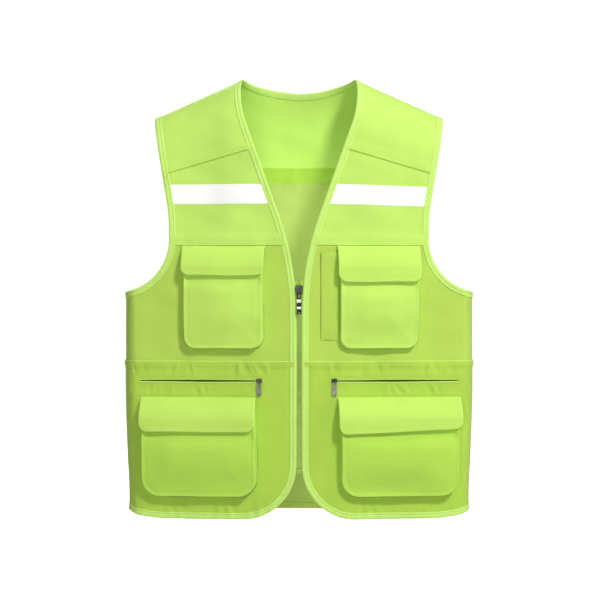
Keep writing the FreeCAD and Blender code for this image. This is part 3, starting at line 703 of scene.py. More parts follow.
def lower_panel(side, sign):
    edge_x, outer = CENTRE_GAP + TUCK, SIDE_A[True] - 0.2
    slit_x = np.linspace(0, 1, 600)
    slit_line = straight((edge_x, SLIT), (outer, SLIT)).at(slit_x)
    gape = slit_open(side)(slit_line[:, 0]) * slit_gape(slit_line[:, 0])
    strip = (straight((edge_x, SLIT), (edge_x, WAIST_SEAM)), straight((outer, SLIT), (outer, WAIST_SEAM)),
             Run(slit_line + np.stack([0 * gape, gape], -1)), straight((edge_x, WAIST_SEAM), (outer, WAIST_SEAM)))
    foot = stretch(V_INSIDE, SLIT, HEM + TUCK - 0.5)
    length_to_arc = SLIT - (HEM + CORNER) + (CORNER - TUCK) * math.pi / 4
    left = foot.part(length_to_arc, 0)
    low = Run(np.concatenate([foot.part(length_to_arc, foot.length).points, [[outer, HEM + TUCK]]])).even()
    field = (left, straight((outer, HEM + TUCK), (outer, SLIT)), low, Run(slit_line - np.stack([0 * gape, gape], -1)))
    ends = [(SLIT_INNER[side] - 9, SLIT_INNER[side] - 2, 1.5)]
    us = stations(outer - edge_x, 2.6, fine=[(a - edge_x, b - edge_x, g) for a, b, g in ends])
    sheets = panel_sheets(turned(strip, sign), True, us, stations(31, 1.2), (1, 1, 0, 1), lower_lift(side),
                          slit_open(side))
    rows = stations(SLIT - HEM - TUCK, 3.0, fine=[(185.0, 211.0, 1.0)])
    sheets += panel_sheets(turned(field, sign), True, us, rows, (1, 1, 1, 0), lower_lift(side), slit_open(side))
    piece = weave("lower_panel_cloth_" + side, sheets, fill=True)
    panels["lower_panel_" + side] = finish(piece, LOWER, "solid_cloth", "lower_panel_" + side)
    cut_from(piece, strip, field, on=["front_mesh_panel_" + side])


for side, sign in SIDES.items():
    lower_panel(side, sign)

# %% Back panel
back_side = straight((SIDE_A[False] - 0.2, HEM + TUCK), (SIDE_A[False] - 0.2, -341.0))
back_arm = ARM_INSIDE[False].keep(lambda x, z: (z <= BACK_SEAM + 8) & (z > -341.0) & (x < SIDE_A[False] - 0.2)).back()
back_right = Run(np.concatenate([back_side.points, back_arm.points])).even()
back_runs = four_sided(back_right.mirrored(), back_right)
sheets = panel_sheets(back_runs, False, stations(600, 3.6), stations(525, 3.6), (1, 1, 1, 1))
back_panel = finish(weave("back_mesh_cloth", sheets), BACK_LIGHT, "light_cloth", "back_mesh_panel")
cut_from(back_panel, back_runs, on=["yoke"])

# %% [markdown]
# The yoke goes over the shoulders in one piece, with no seam on the ridge. It is laid as five
# fields that share their edges: one on each front shoulder, one on each back shoulder, and one
# across the back below the neck.

# %% Yoke
NECK_POINT = 91.0
ridge_edge = armhole_seen.points[0, 0] - TUCK
ridge_seen = np.stack([np.linspace(NECK_POINT, ridge_edge, 60)] * 2, -1)
ridge_seen[:, 1] = ridge(ridge_seen[:, 0])
RIDGE = {front: Run(unroll(ridge_seen, front)) for front in (True, False)}
for run in RIDGE.values():
    run.marks = ridge_seen[:, 0] - NECK_POINT
    run.length = run.marks[-1]


def yoke_front(sign):
    """The front shoulder, from its seam up to the ridge."""
    left = stretch(V_INSIDE, 999.0, yoke_seam).back().points
    right = stretch(ARM_INSIDE[True], 999.0, yoke_seam).back().points
    left = Run(np.concatenate([left, RIDGE[True].points[:1]])).even()
    right = Run(np.concatenate([right, RIDGE[True].points[-1:]])).even()
    return turned((left, right, across(left.points[0], right.points[0]), RIDGE[True]), sign)


def yoke_back(sign):
    """The back shoulder, and the run that it shares with the field below the neck."""
    inner = straight((NECK_POINT, BACK_SEAM - 0.5), RIDGE[False].points[0])
    arm = ARM_INSIDE[False].keep(lambda x, z: z >= BACK_SEAM - 0.5).back().points
    right = Run(np.concatenate([arm, RIDGE[False].points[-1:]])).even()
    return turned((inner, right, across(inner.points[0], right.points[0]), RIDGE[False]), sign)


def yoke_centre():
    inner = yoke_back(1)[0]
    neck = NECK_EDGE.moved(-TUCK).back().points[2:-2]
    neck = Run(np.concatenate([[inner.points[-1] * [-1, 1]], neck, [inner.points[-1]]])).even()
    return inner.mirrored(), inner, across(inner.points[0] * [-1, 1], inner.points[0]), neck


def back_lap(a, t):
    return 1.1 * smooth(-t, -BACK_SEAM - 20, -BACK_SEAM - 8)


def front_lap(a, t):
    return 0.85 * smooth(yoke_seam(a) - t, -20, -9)


columns = stations(150, 3.0, low=False)
rows = stations(170, 3.0, high=False)
sheets = []
for sign in SIDES.values():
    sheets += panel_sheets(yoke_front(sign), True, columns, rows, (1, 1, 1, 0), front_lap)
    sheets += panel_sheets(yoke_back(sign), False, columns, rows, (0, 1, 1, 0), back_lap)
sheets += panel_sheets(yoke_centre(), False, stations(174, 3.0, low=False, high=False), rows, (0, 0, 1, 1), back_lap)
yoke = finish(weave("yoke_cloth", sheets, fill=True), YOKE, "solid_cloth", "yoke")
fields = [shape(sign) for shape in (yoke_front, yoke_back) for sign in SIDES.values()] + [yoke_centre()]
over = RIDGE[True].points[:, 1].max() - yoke_seam(210) + RIDGE[False].points[:, 1].max() - BACK_SEAM
cut_from(yoke, *fields, size=(2 * ridge_edge / 1000, float(over) / 1000))
for piece in (yoke, back_panel, *panels.values()):
    print(piece.name, len(piece.data.polygons), "faces")

# %% [markdown]
# Every cut edge is bound: a tape is folded over it, front and back, and sewn through. The binding
# is a closed strip with a U-shaped section. The row of stitches draws it down in a groove, which
# leaves a plump fold outside and a narrow bead inside.

# %% Bindings
FRONT_FACE = [(10.0, 1.02), (10.05, 1.5), (9.6, 1.95), (8.8, 2.15), (7.9, 2.1), (7.1, 1.8), (6.5, 1.45),
              (5.9, 1.7), (4.8, 2.15), (3.2, 2.35), (1.7, 2.2), (0.6, 1.75), (0.05, 1.1)]
BACK_FACE = [(0.0, 0.5), (0.05, -0.1), (0.6, -0.7), (1.7, -1.0), (4.8, -1.1), (8.8, -1.0), (9.7, -0.7), (10.0, -0.05)]
PROFILE = np.array(FRONT_FACE + BACK_FACE + [(1.9, -0.02), (1.9, 1.02), (10.0, 1.02)])


def cut_strip(piece, length, width=23.0, on=()):
    """Prints a long strip's length and width, in mm."""
    print(piece.name, "strip, mm:", round(length), round(width))
    width / 1000


def strip_sheet(run, profile, front, inside, step=2.5, gather=0.0, seed=20):
    """A strip along a run; profile gives inset and lift, and inside is 1 or -1 for where inwards lies."""
    us = np.linspace(0, 1, max(int(run.length / step), 2) + 1)
    vs = np.linspace(0, 1, len(profile))
    dense = run.even(1.0)
    way = np.gradient(dense.points, axis=0)
    way /= np.linalg.norm(way, axis=1)[:, None]
    normals = Run(dense.points)
    normal_points = np.stack([way[:, 1], -way[:, 0]], -1) * inside

    def place(u, v):
        inset, lift = profile[np.rint(v * (len(profile) - 1)).astype(int)].T
        spot = dense.at(u)
        share = u * normals.length
        normal = np.stack([np.interp(share, normals.marks, column) for column in normal_points.T], -1)
        spot = spot + normal * inset[:, None]
        along = u * run.length
        faces = np.where(lift > 1.2, 1.0, np.where(lift < -0.2, -0.6, 0.0))
        puff = gather * puckers(along, 0 * u, 1.0, seed, 7.0) * faces
        spot = spot + normal * (gather * 0.35 * puckers(along, 0 * u, 1.0, seed + 3, 8.0) * (inset < 9))[:, None]
        near = np.maximum(np.exp(-(inset / 0.8) ** 2), 0.8 * np.exp(-((inset - 9.6) / 0.7) ** 2)) * (lift > 0.2)
        chart = np.stack([along, inset + (lift < 0.5) * 12], -1)
        return skin(spot[:, 0], spot[:, 1], lift + puff, front), chart, near

    return us, vs, place


for side, sign in SIDES.items():
    edge = FRONT_EDGE if sign > 0 else FRONT_EDGE.mirrored()
    sheet = strip_sheet(edge, PROFILE, True, -sign, gather=0.12, seed=21)
    piece = weave("front_edge_binding_cloth_" + side, [sheet], fill=True)
    finish(piece, BINDING, "binding", "front_edge_binding_" + side)
    cut_strip(piece, FRONT_EDGE.length, on=["yoke"])
    arm_sheets = []
    for front in (True, False):
        edge = ARMHOLE[front] if sign > 0 else ARMHOLE[front].mirrored()
        arm_sheets.append(strip_sheet(edge, PROFILE, front, sign, gather=0.1, seed=24))
    piece = weave("armhole_binding_cloth_" + side, arm_sheets, fill=True)
    finish(piece, BINDING, "binding", "armhole_binding_" + side)
    cut_strip(piece, ARMHOLE[True].length + ARMHOLE[False].length, on=["yoke"])
piece = weave("back_neck_binding_cloth", [strip_sheet(NECK_EDGE, PROFILE, False, -1, gather=0.28, seed=27)], fill=True)
finish(piece, BINDING, "binding", "back_neck_binding")
cut_strip(piece, NECK_EDGE.length, on=["yoke"])
piece = weave("back_hem_binding_cloth", [strip_sheet(BACK_HEM, PROFILE, False, 1, gather=0.15, seed=30)], fill=True)
finish(piece, HEM_BINDING_PAINTED_SHADE, "binding", "back_hem_binding")
cut_strip(piece, BACK_HEM.length, on=["back_mesh_panel"])

# %% [markdown]
# The reflective tapes lie on top of the cloth between the bindings, one on each chest panel and
# one across the back of the yoke. They are thin and a little stiff, so they only follow the wide
# swells of the cloth.

# %% Reflective tapes
def tape_runs(front, high, width, drop):
    """The tape's four runs, wearer's left; drop lowers its outer end."""
    def top(x):
        return high - drop * smooth(x, 60, 200)
    left_edge = FRONT_EDGE.moved(-9.0) if front else None
    right = ARMHOLE[front].moved(9.0).keep(lambda x, z: (z <= top(x)) & (z >= top(x) - width)).back()
    if not front:
        return four_sided(right.mirrored(), right)
    left = left_edge.keep(lambda x, z: (z <= top(x)) & (z >= top(x) - width)).back()
    return four_sided(left, right)


def tape_piece(name, runs, front, node):
    us = stations(Run(runs[2].points).length, 3.0)
    lift = (lambda a, t: 1.05 + 0 * a) if front else (lambda a, t: 1.05 + back_lap(a, t))
    sheets = panel_sheets(runs, front, us, stations(31, 2.6), (1, 1, 1, 1), lift, wall=0.45)
    piece = finish(weave(name, sheets), TAPE, "reflective_tape", node)
    under = node.replace("front_reflective_tape", "chest_panel") if front else "yoke"
    cut_strip(piece, Run(runs[2].points).length, 31.0, [under])


for side, sign in SIDES.items():
    runs = turned(tape_runs(True, -170.0, 31.0, 3.5 if sign > 0 else 0.0), sign)
    tape_piece("front_reflective_tape_cloth_" + side, runs, True, "front_reflective_tape_" + side)
tape_piece("back_reflective_tape_cloth", tape_runs(False, -131.0, 31.0, 0.0), False, "back_reflective_tape")

# %% [markdown]
# A bellows pocket is a face joined to the vest by a pleated wall, the gusset, so that it can stand
# off and hold things. Its face is a little plump in the middle, pinched to a crisp rim at its
# edges, and slack towards its foot. The flap is cut from two layers, turned and pressed, so its
# rim is rounded and a row of stitches runs inside it.

# %% Pocket helpers
TURN = math.atan(0.10)


def on_front(u, w, z, sign):
    """A place beside the slanting front: u along it, w out from the panel's face, z up, in metres."""
    w = w + relief(u, z, True) * np.clip(1 - np.maximum(w, 0) / 8, 0, 1)
    x = u * math.cos(TURN) + w * math.sin(TURN)
    y = u * math.sin(TURN) - w * math.cos(TURN) - 73.0
    return np.stack([x * sign, y, z], -1) / 1000


def inside_distance(u, z, low, high, bottom, corner):
    """How far a place lies inside a pocket's outline, whose mouth is open and bottom corners are round."""
    beside, above = np.minimum(u - low, high - u), z - bottom
    reach_u, reach_z = corner - beside, corner - above
    cornered = (reach_u > 0) & (reach_z > 0)
    return np.where(cornered, corner - np.hypot(reach_u, reach_z), np.minimum(beside, above))


def u_outline(low, high, bottom, top, corner):
    """Down one side, round the bottom and up the other, and the same as four runs for a filled panel."""
    line = rounded([(low, top), (low, bottom, corner), (high, bottom, corner), (high, top)])
    mark = (top - bottom - corner) + corner * math.pi / 4
    left = line.part(mark, 0)
    right = line.part(line.length - mark, line.length)
    return line, (left, right, line.part(mark, line.length - mark), straight((low, top), (high, top)))


class Pocket:
    """The sizes of one bellows pocket, in mm beside the front."""

    def __init__(self, low, high, mouth, height, depth, corner, covered, seed, dimples):
        self.low, self.high, self.mouth, self.bottom = low, high, mouth, mouth - height
        self.depth, self.corner, self.covered, self.seed, self.dimples = depth, corner, covered, seed, dimples
        self.outline, self.runs = u_outline(low, high, self.bottom, mouth, corner)

    def rim_depth(self, z):
        """How far the face's edge stands off: 7 at the mouth, full below it."""
        slack = 0.72 + 0.28 * smooth(z, self.bottom, self.bottom + 60)
        return 7.0 + (self.depth * slack - 7.0) * smooth(self.mouth - z, 0, 24)

    def face_depth(self, u, z):
        edge = inside_distance(u, z, self.low, self.high, self.bottom, self.corner)
        shares = (u - self.low) / (self.high - self.low), (self.mouth - z) / (self.mouth - self.bottom)
        below = self.mouth - z - self.covered
        free = smooth(below, 2, 30)
        height = self.rim_depth(z) - 4.2 * np.exp(-((below - 5) / 9.0) ** 2) * smooth(edge, -2, 6)
        height = height - 0.7 * np.exp(-((edge - 5) / 3.0) ** 2) * free + 4.4 * smooth(edge, 0, 52) * free
        for across_share, down_share, wide, tall, rise in self.dimples:
            reach = ((shares[0] - across_share) / wide) ** 2 + ((shares[1] - down_share) / tall) ** 2
            height = height + rise * np.exp(-reach) * smooth(edge, 0, 9)
        fine = 0.28 * puckers(u, edge - 3, 5.0, self.seed, 13.0) * smooth(self.mouth - z, 40, 60)
        return height + fine + 0.3 * swell(u, z, self.seed, 46.0) * free, edge


def pocket_face(name, pocket, sign, material_used, node):
    """The face, hemmed at its mouth, as one shell."""
    fill = between(*pocket.runs)

    def place(face, u, v):
        spot = fill(u, v)
        depth, edge = pocket.face_depth(spot[:, 0], spot[:, 1])
        rim = np.minimum(edge, pocket.mouth - spot[:, 1])
        hem = 0.45 * smooth(spot[:, 1], pocket.mouth - 11, pocket.mouth - 9.5) * rounded_edge(rim, 0.9)
        wall = 0.55 * rounded_edge(rim, 0.9)
        out = depth - 0.6 + np.where(face > 0, wall + hem, -wall)
        return on_front(spot[:, 0], out, spot[:, 1], sign), spot, np.exp(-(edge / 0.75) ** 2)

    us, vs = stations(pocket.high - pocket.low, 2.8), stations(pocket.mouth - pocket.bottom, 2.8)
    sheets = two_faces(us, vs, place)
    piece = finish(weave(name, sheets), material_used, "pocket_cloth", node)
    cut_from(piece, pocket.runs, on=[node.replace("face", "gusset")])


WALL_SHAPE = [(-2.6, 0.0), (-0.8, 0.03), (0.4, 0.14), (2.5, 0.38), (3.3, 0.5), (2.5, 0.64), (0.9, 0.87), (0.25, 0.96)]
WALL_PROFILE = np.array(WALL_SHAPE + [(inset + 0.9, share) for inset, share in reversed(WALL_SHAPE)] + WALL_SHAPE[:1])


def pocket_wall(name, pocket, sign, material_used, node):
    """The pleated gusset, from the panel out to the face's rim."""
    line = pocket.outline
    way = np.gradient(line.points, axis=0)
    way /= np.linalg.norm(way, axis=1)[:, None]
    normal_points = np.stack([-way[:, 1], way[:, 0]], -1)

    def place(u, v):
        inset, share = WALL_PROFILE[np.rint(v * (len(WALL_PROFILE) - 1)).astype(int)].T
        normal = np.stack([np.interp(u * line.length, line.marks, column) for column in normal_points.T], -1)
        spot = line.at(u) + normal * inset[:, None]
        out = share * (pocket.rim_depth(line.at(u)[:, 1]) - 0.4) + 0.05
        return on_front(spot[:, 0], out, spot[:, 1], sign), np.stack([u * line.length, share * 22 + inset], -1), 0 * u

    us = np.linspace(0, 1, int(line.length / 2.8))
    sheets = [(us, np.linspace(0, 1, len(WALL_PROFILE)), place)]
    piece = finish(weave(name, sheets, fill=True), material_used, "pocket_cloth", node)
    kind, side = node.split("_")[0], node.split("_")[-1]
    under = ("front_mesh_panel_" if kind == "chest" else "lower_panel_") + side
    cut_strip(piece, line.length, pocket.depth + 6.0, [under])


# %% Flap helper
class Flap:
    """A pocket flap: sewn along its top, out over the pocket's mouth, then hanging."""

    def __init__(self, low, high, seam, drop, hang, corner, seed, slant=0.0):
        places = (0.5, seam), (6.5, seam - 3.0), (hang - 2.5, seam - 16), (hang + 0.4, seam - 33)
        knots = [np.array(place, float) for place in places]
        share = np.linspace(0, 1, 40)[:, None]
        bend = ((1 - share) ** 3 * knots[0] + 3 * share * (1 - share) ** 2 * knots[1]
                + 3 * share ** 2 * (1 - share) * knots[2] + share ** 3 * knots[3])
        self.profile = Run(np.concatenate([bend, [[hang + 0.5, seam - drop]]]))
        self.low, self.high, self.seam, self.drop, self.seed = low, high, seam, drop, seed
        self.length = self.profile.length
        self.corner, self.slant = corner, slant
        self.outline, self.runs = u_outline(low, high, -self.length, 0.0, corner)

    def surface(self, u, down, face, pinch=1.0):
        """Points at pattern place (u, down), on the outer or inner face."""
        w, z = self.profile.at(-down / self.length).T
        edge = inside_distance(u, down, self.low, self.high, -self.length, self.corner)
        hanging = smooth(-down, 18, self.length)
        sag = 0.9 * swell(u, 0 * u, self.seed, 120.0) + self.slant * (u - (self.low + self.high) / 2)
        z = z + sag * hanging ** 2
        folds = 0.8 * swell(u, down, self.seed + 1, 90.0) + 0.25 * puckers(u, edge - 4, 5.0, self.seed, 12.0)
        w = w + folds * hanging
        groove = 0.25 * np.exp(-((edge - 6.0) / 0.8) ** 2)
        wall = (0.75 - groove) * rounded_edge(edge, 1.1) * pinch
        return u, w + face * wall, z, edge


def flap_piece(name, flap, sign, material_used, node):
    fill = between(*flap.runs)

    def place(face, u, v):
        spot = fill(u, v)
        along, out, z, edge = flap.surface(spot[:, 0], spot[:, 1], face, rounded_edge(-spot[:, 1], 0.8))
        return on_front(along, out, z, sign), spot, np.exp(-(edge / 0.9) ** 2)

    us, vs = stations(flap.high - flap.low, 2.8), stations(flap.length, 2.2)
    sheets = two_faces(us, vs, place)
    piece = weave(name, sheets, body=None)
    middle = np.array([(flap.low + flap.high) / 2])
    start = on_front(middle, np.array([0.0]), np.array([flap.seam + 1.0]), sign)[0]
    end = on_front(middle, np.array([8.0]), np.array([flap.seam - 8.0]), sign)[0]
    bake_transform(piece)
    finish(piece, material_used, "pocket_cloth", node)
    cut_from(piece, flap.runs)


# %% Hook and loop patches
def patch_piece(name, centres, width, top, height, depth_of, sign, material_used, slot, node, body, wall=0.9):
    """Patches of hook or loop tape, sewn flat on a surface at depth_of(u, z)."""
    sheets = []
    for centre in centres:
        def place(face, u, v, centre=centre):
            along, z = centre + (u - 0.5) * width, top - (1 - v) * height
            edge = np.minimum(np.minimum(u, 1 - u) * width, np.minimum(v, 1 - v) * height)
            out = depth_of(along, z) + wall / 2 + face * wall / 2 * rounded_edge(edge, 0.5)
            return on_front(along, out, z, sign), np.stack([along, z], -1), 0 * u
        us, vs = stations(width, 2.5), stations(height, 2.5)
        sheets += two_faces(us, vs, place)
    return finish(weave(name, sheets, body=body), material_used, slot, node)


# %% [markdown]
# The two chest pockets and the two lower pockets share those helpers. Each has its own dimples:
# where the face is slack it falls away, and where something last filled it, it stays plump.

# %% Chest and lower pockets
DIMPLES = {"chest_left": [(0.45, 0.45, 0.45, 0.28, 1.2), (0.55, 0.86, 0.4, 0.12, -2.6), (0.12, 0.5, 0.12, 0.4, -1.0)],
           "chest_right": [(0.45, 0.5, 0.4, 0.3, 1.4), (0.2, 0.85, 0.2, 0.12, -2.4), (0.85, 0.5, 0.12, 0.4, -0.8)],
           "lower_left": [(0.5, 0.45, 0.4, 0.3, 1.2), (0.3, 0.9, 0.35, 0.14, -2.2)],
           "lower_right": [(0.45, 0.45, 0.4, 0.3, 1.4), (0.2, 0.82, 0.2, 0.13, -2.6), (0.9, 0.5, 0.1, 0.4, -1.0)]}
pockets, flaps = {}, {}
for side, sign in SIDES.items():
    centre = 123.5 if sign > 0 else 117.0
    inner, outer = (65.0, 246.0) if sign > 0 else (67.0, 242.0)
    lower_flap = (60.0, 252.0) if sign > 0 else (67.0, 246.0)
    quarter = (outer - inner) / 4
    drop = 57 if sign > 0 else 47
    plans = {"chest": (Pocket(centre - 60, centre + 60, -276, 147, 16, 17, drop - 12, 40, DIMPLES["chest_" + side]),
                       Flap(centre - 64, centre + 64, -265, drop - 1, 18.3, 13, 41), [centre], 70, -293.0),
             "lower": (Pocket(inner, outer, -511, 140, 20, 27, 40.5, 44, DIMPLES["lower_" + side]),
                       Flap(*lower_flap, -499, 52.5, 22.3, 13, 45, slant=0.045 if sign > 0 else 0.0),
                       [inner + quarter, outer - quarter], 36, -528.0)}
    for kind, (pocket, flap, centres, width, top) in plans.items():
        tag = kind + "_" + side
        colour = POCKET if kind == "chest" else LOWER_POCKET
        bodies = ("vest", kind + "_flap_" + side)
        pocket_face(kind + "_pocket_face_cloth_" + side, pocket, sign, colour, kind + "_pocket_face_" + side)
        pocket_wall(kind + "_pocket_wall_cloth_" + side, pocket, sign, colour, kind + "_pocket_gusset_" + side)
        flap_piece(kind + "_flap_cloth_" + side, flap, sign, POCKET, kind + "_flap_" + side)
        patch_piece(kind + "_loop_patch_" + side, centres, width, top, 13,
                    lambda u, z, p=pocket: p.face_depth(u, z)[0] - 0.05, sign, LOOP, "loop_tape",
                    kind + "_loop_tape_" + side, "vest")
        hang = flap.profile.points[-1, 0]
        patch_piece(kind + "_hook_patch_" + side, centres, width, top, 13, lambda u, z, h=hang: 0 * u + h - 1.6,
                    sign, HOOK, "hook_tape", kind + "_hook_tape_" + side, kind + "_flap_" + side)
        pockets[tag], flaps[tag] = pocket, flap

# %% [markdown]
# The pen pocket is a narrow flat pocket between the chest pocket and the front edge. It has a
# doubled hem at its mouth, and stands off only a few millimetres.

# %% Pen pocket
PEN_LOW, PEN_HIGH, PEN_FOOT, PEN_MOUTH = 33.0, 63.0, -411.0, -276.0


def pen_depth(u, z):
    edge = inside_distance(u, z, PEN_LOW, PEN_HIGH, PEN_FOOT, 2.0)
    plump = 2.6 * rounded_edge(edge, 4.0) * smooth(z, -412, -392)
    return 1.2 + plump + 0.8 * np.exp(-((u - 45.5) / 6) ** 2) + 0.35 * swell(u, z, 52, 40.0), edge


def pen_pocket():
    _, runs = u_outline(PEN_LOW, PEN_HIGH, PEN_FOOT, PEN_MOUTH, 2.0)
    fill = between(*runs)

    def place(face, u, v):
        spot = fill(u, v)
        depth, edge = pen_depth(spot[:, 0], spot[:, 1])
        rim = np.minimum(edge, PEN_MOUTH - spot[:, 1])
        depth = depth * smooth(edge, -2.0, 1.5) + 0.4 * smooth(spot[:, 1], -288, -287)
        out = depth - 0.4 + face * 0.5 * rounded_edge(rim, 0.8)
        return on_front(spot[:, 0], out, spot[:, 1], 1), spot, np.exp(-(edge / 1.3) ** 2)

    us, vs = stations(30, 2.0), stations(135, 2.4)
    sheets = two_faces(us, vs, place)
    piece = finish(weave("pen_pocket_cloth", sheets), LIGHT, "pocket_cloth", "pen_pocket")
    cut_from(piece, runs, on=["front_mesh_panel_left"])


pen_pocket()

# %% [markdown]
# Stitches hold all of this together, and a row of them is what the eye takes for a seam. Each
# stitch is a short bead of thread that sinks at both ends. A row follows a run, a few to the
# centimetre, and all rows of one piece are one mesh.

# %% Stitches
PITCH, THREAD_WIDTH, THREAD_HEIGHT = 2.9, 0.30, 0.24


def row(run, surface):
    """Both ends of each stitch along a run, and the way out from the cloth; surface places (u, v, extra lift)."""
    count = int(run.length / PITCH)
    start, end = (run.at((np.arange(count) + share) / count) for share in (0.08, 0.86))
    tops = [surface(points[:, 0], points[:, 1], 0.0) for points in (start, end)]
    out = surface(start[:, 0], start[:, 1], 1.0) - tops[0]
    return (*tops, out)


def on_cloth(lift, front):
    return lambda a, t, extra: skin(a, t, lift + extra, front)


def sew(name, rows, body, thread, slot, *nodes):
    bm = bmesh.new()
    for start, end, out in rows:
        for one, other, way in zip(start, end, out):
            along, way = Vector(other - one), Vector(way).normalized()
            length = along.length
            along.normalize()
            side = way.cross(along).normalized()
            axes = along * length / 2, side * THREAD_WIDTH / 1000, way * THREAD_HEIGHT / 1000
            laid = Matrix.Translation((one + other) / 2) @ Matrix(axes).transposed().to_4x4()
            bmesh.ops.create_icosphere(bm, subdivisions=1, radius=1.0, matrix=laid)
    return finish(piece_from(bm, name, body), thread, slot, *nodes)


def level_run(start, end, height):
    return straight((start, height), (end, height))


rows = {"bindings": [], "panels": [], "tapes": []}
for sign in SIDES.values():
    edge = FRONT_EDGE.moved(-6.5)
    rows["bindings"].append(row(edge if sign > 0 else edge.mirrored(), on_cloth(1.45, True)))
    for front in (True, False):
        edge = ARMHOLE[front].moved(6.5)
        rows["bindings"].append(row(edge if sign > 0 else edge.mirrored(), on_cloth(1.45, front)))
    seam = straight((70, yoke_seam(70) + 3.2), (214, yoke_seam(214) + 3.2))
    rows["panels"].append(row(seam if sign > 0 else seam.mirrored(), on_cloth(2.2, True)))
    chest_row = level_run(34 * sign, 201 * sign, CHEST_SEAM + 3.4)
    waist_row = level_run(16 * sign, (SIDE_A[True] - 2) * sign, WAIST_SEAM - 3.0)
    rows["panels"] += [row(chest_row, on_cloth(2.55, True)), row(waist_row, on_cloth(2.35, True))]
    for height, lift in ((-464.6, 1.35), (-482.5, 1.05), (-495.4, 1.5)):
        welt_row = level_run(72 * sign, 244 * sign, height)
        rows["panels"].append(row(welt_row, on_cloth(lift, True)))
    lower = 3.0 if sign > 0 else 0.0
    for start, end, height in ((60, 196, -170.0 - 2.4), (52, 192, -198.6)):
        rows["tapes"].append(row(level_run(start * sign, end * sign, height - lower), on_cloth(1.55, True)))
rows["bindings"] += [row(NECK_EDGE.moved(-6.5), on_cloth(1.45, False)), row(BACK_HEM.moved(6.5), on_cloth(1.45, False))]
rows["panels"].append(row(level_run(-208, 208, BACK_SEAM + 2.4), on_cloth(2.2, False)))
for height in (-133.4, -159.6):
    rows["tapes"].append(row(level_run(-198, 198, height),
                             lambda a, t, extra: skin(a, t, 1.6 + back_lap(a, t) + extra, False)))
sew("binding_stitches", rows["bindings"], "vest", THREAD, "binding")
sew("panel_stitches", rows["panels"], "vest", THREAD, "binding")
sew("tape_stitches", rows["tapes"], "vest", PALE_THREAD, "reflective_tape")


def flap_row(flap, sign):
    """The row inside a flap's pressed rim."""
    line, _ = u_outline(flap.low + 6, flap.high - 6, -flap.length + 6, -12.0, flap.corner - 6)

    def surface(u, down, extra):
        along, out, z, edge = flap.surface(u, down, 1)
        return on_front(along, out + extra, z, sign)

    return row(line, surface)


for tag, flap in flaps.items():
    side = tag.split("_")[1]
    sew(tag + "_flap_stitches", [flap_row(flap, SIDES[side])], tag.replace("_", "_flap_"), THREAD, "binding")
pen_line, _ = u_outline(34.6, 61.4, -409.4, -290.0, 2.0)
pen_rows = [row(pen_line, lambda u, z, extra: on_front(u, pen_depth(u, z)[0] + extra, z, 1)),
            row(level_run(35, 61, -287.0), lambda u, z, extra: on_front(u, pen_depth(u, z)[0] + 0.4 + extra, z, 1))]
sew("pen_pocket_stitches", pen_rows, "vest", THREAD, "binding")

# %% [markdown]
# A coil zip is two long nylon springs sewn to woven tapes. Each coil here is a true helix: the
# spin operator turns a small wire section and moves it on by a pitch at each turn. The main zip's
# coils reach past each other at the centre line, half a pitch apart, as closed ones do.

# %% Zip coils and tapes
def coil(name, start, end, centre, half, pitch, wire, frame_of, material_used, slot, node, offset=0.0):
    """A flattened helix along an axis from start to end, in mm; frame_of carries (along, across, out) to metres."""
    bm = bmesh.new()
    stood = Matrix.Translation((1.0, 0, 0)) @ Matrix.Rotation(math.pi / 2, 4, "X")
    ring = bmesh.ops.create_circle(bm, cap_ends=False, radius=wire, segments=5, matrix=stood)["verts"]
    turns = int((end - start) / pitch)
    edges = [edge for edge in bm.edges]
    bmesh.ops.spin(bm, geom=ring + edges, cent=(0, 0, 0), axis=(0, 0, 1), dvec=(0, 0, pitch / 8),
                   angle=2 * math.pi * turns, steps=8 * turns, use_merge=False)
    places = np.array([vert.co for vert in bm.verts])
    radius = np.hypot(places[:, 0], places[:, 1])
    angle = np.arctan2(places[:, 1], places[:, 0])
    wide, painted_thread_shade = half[0] - wire + (radius - 1.0), half[1] - wire + (radius - 1.0)
    moved = frame_of(start + offset + places[:, 2], centre[0] + wide * np.cos(angle), centre[1] + painted_thread_shade * np.sin(angle))
    for vert, point in zip(bm.verts, moved.tolist()):
        vert.co = point
    bmesh.ops.holes_fill(bm, edges=[edge for edge in bm.edges if edge.is_boundary], sides=0)
    bmesh.ops.recalc_face_normals(bm, faces=bm.faces[:])
    return finish(piece_from(bm, name, "vest"), material_used, slot, node)


def flat_strip(corners, frame_of):
    """A tape of woven cloth: corners gives its length and width ranges, and its depth range."""
    (a0, a1), (b0, b1), (w0, w1) = corners

    def place(face, u, v):
        along, wide = a0 + u * (a1 - a0), b0 + v * (b1 - b0)
        edge = np.minimum(np.minimum(u, 1 - u) * abs(a1 - a0), np.minimum(v, 1 - v) * abs(b1 - b0))
        out = (w0 + w1) / 2 + face * (w1 - w0) / 2 * rounded_edge(edge, 0.5)
        return frame_of(along, wide, out), np.stack([wide, along], -1), 0 * u

    us, vs = stations(abs(a1 - a0), 6.0), stations(abs(b1 - b0), 2.0)
    return two_faces(us, vs, place)


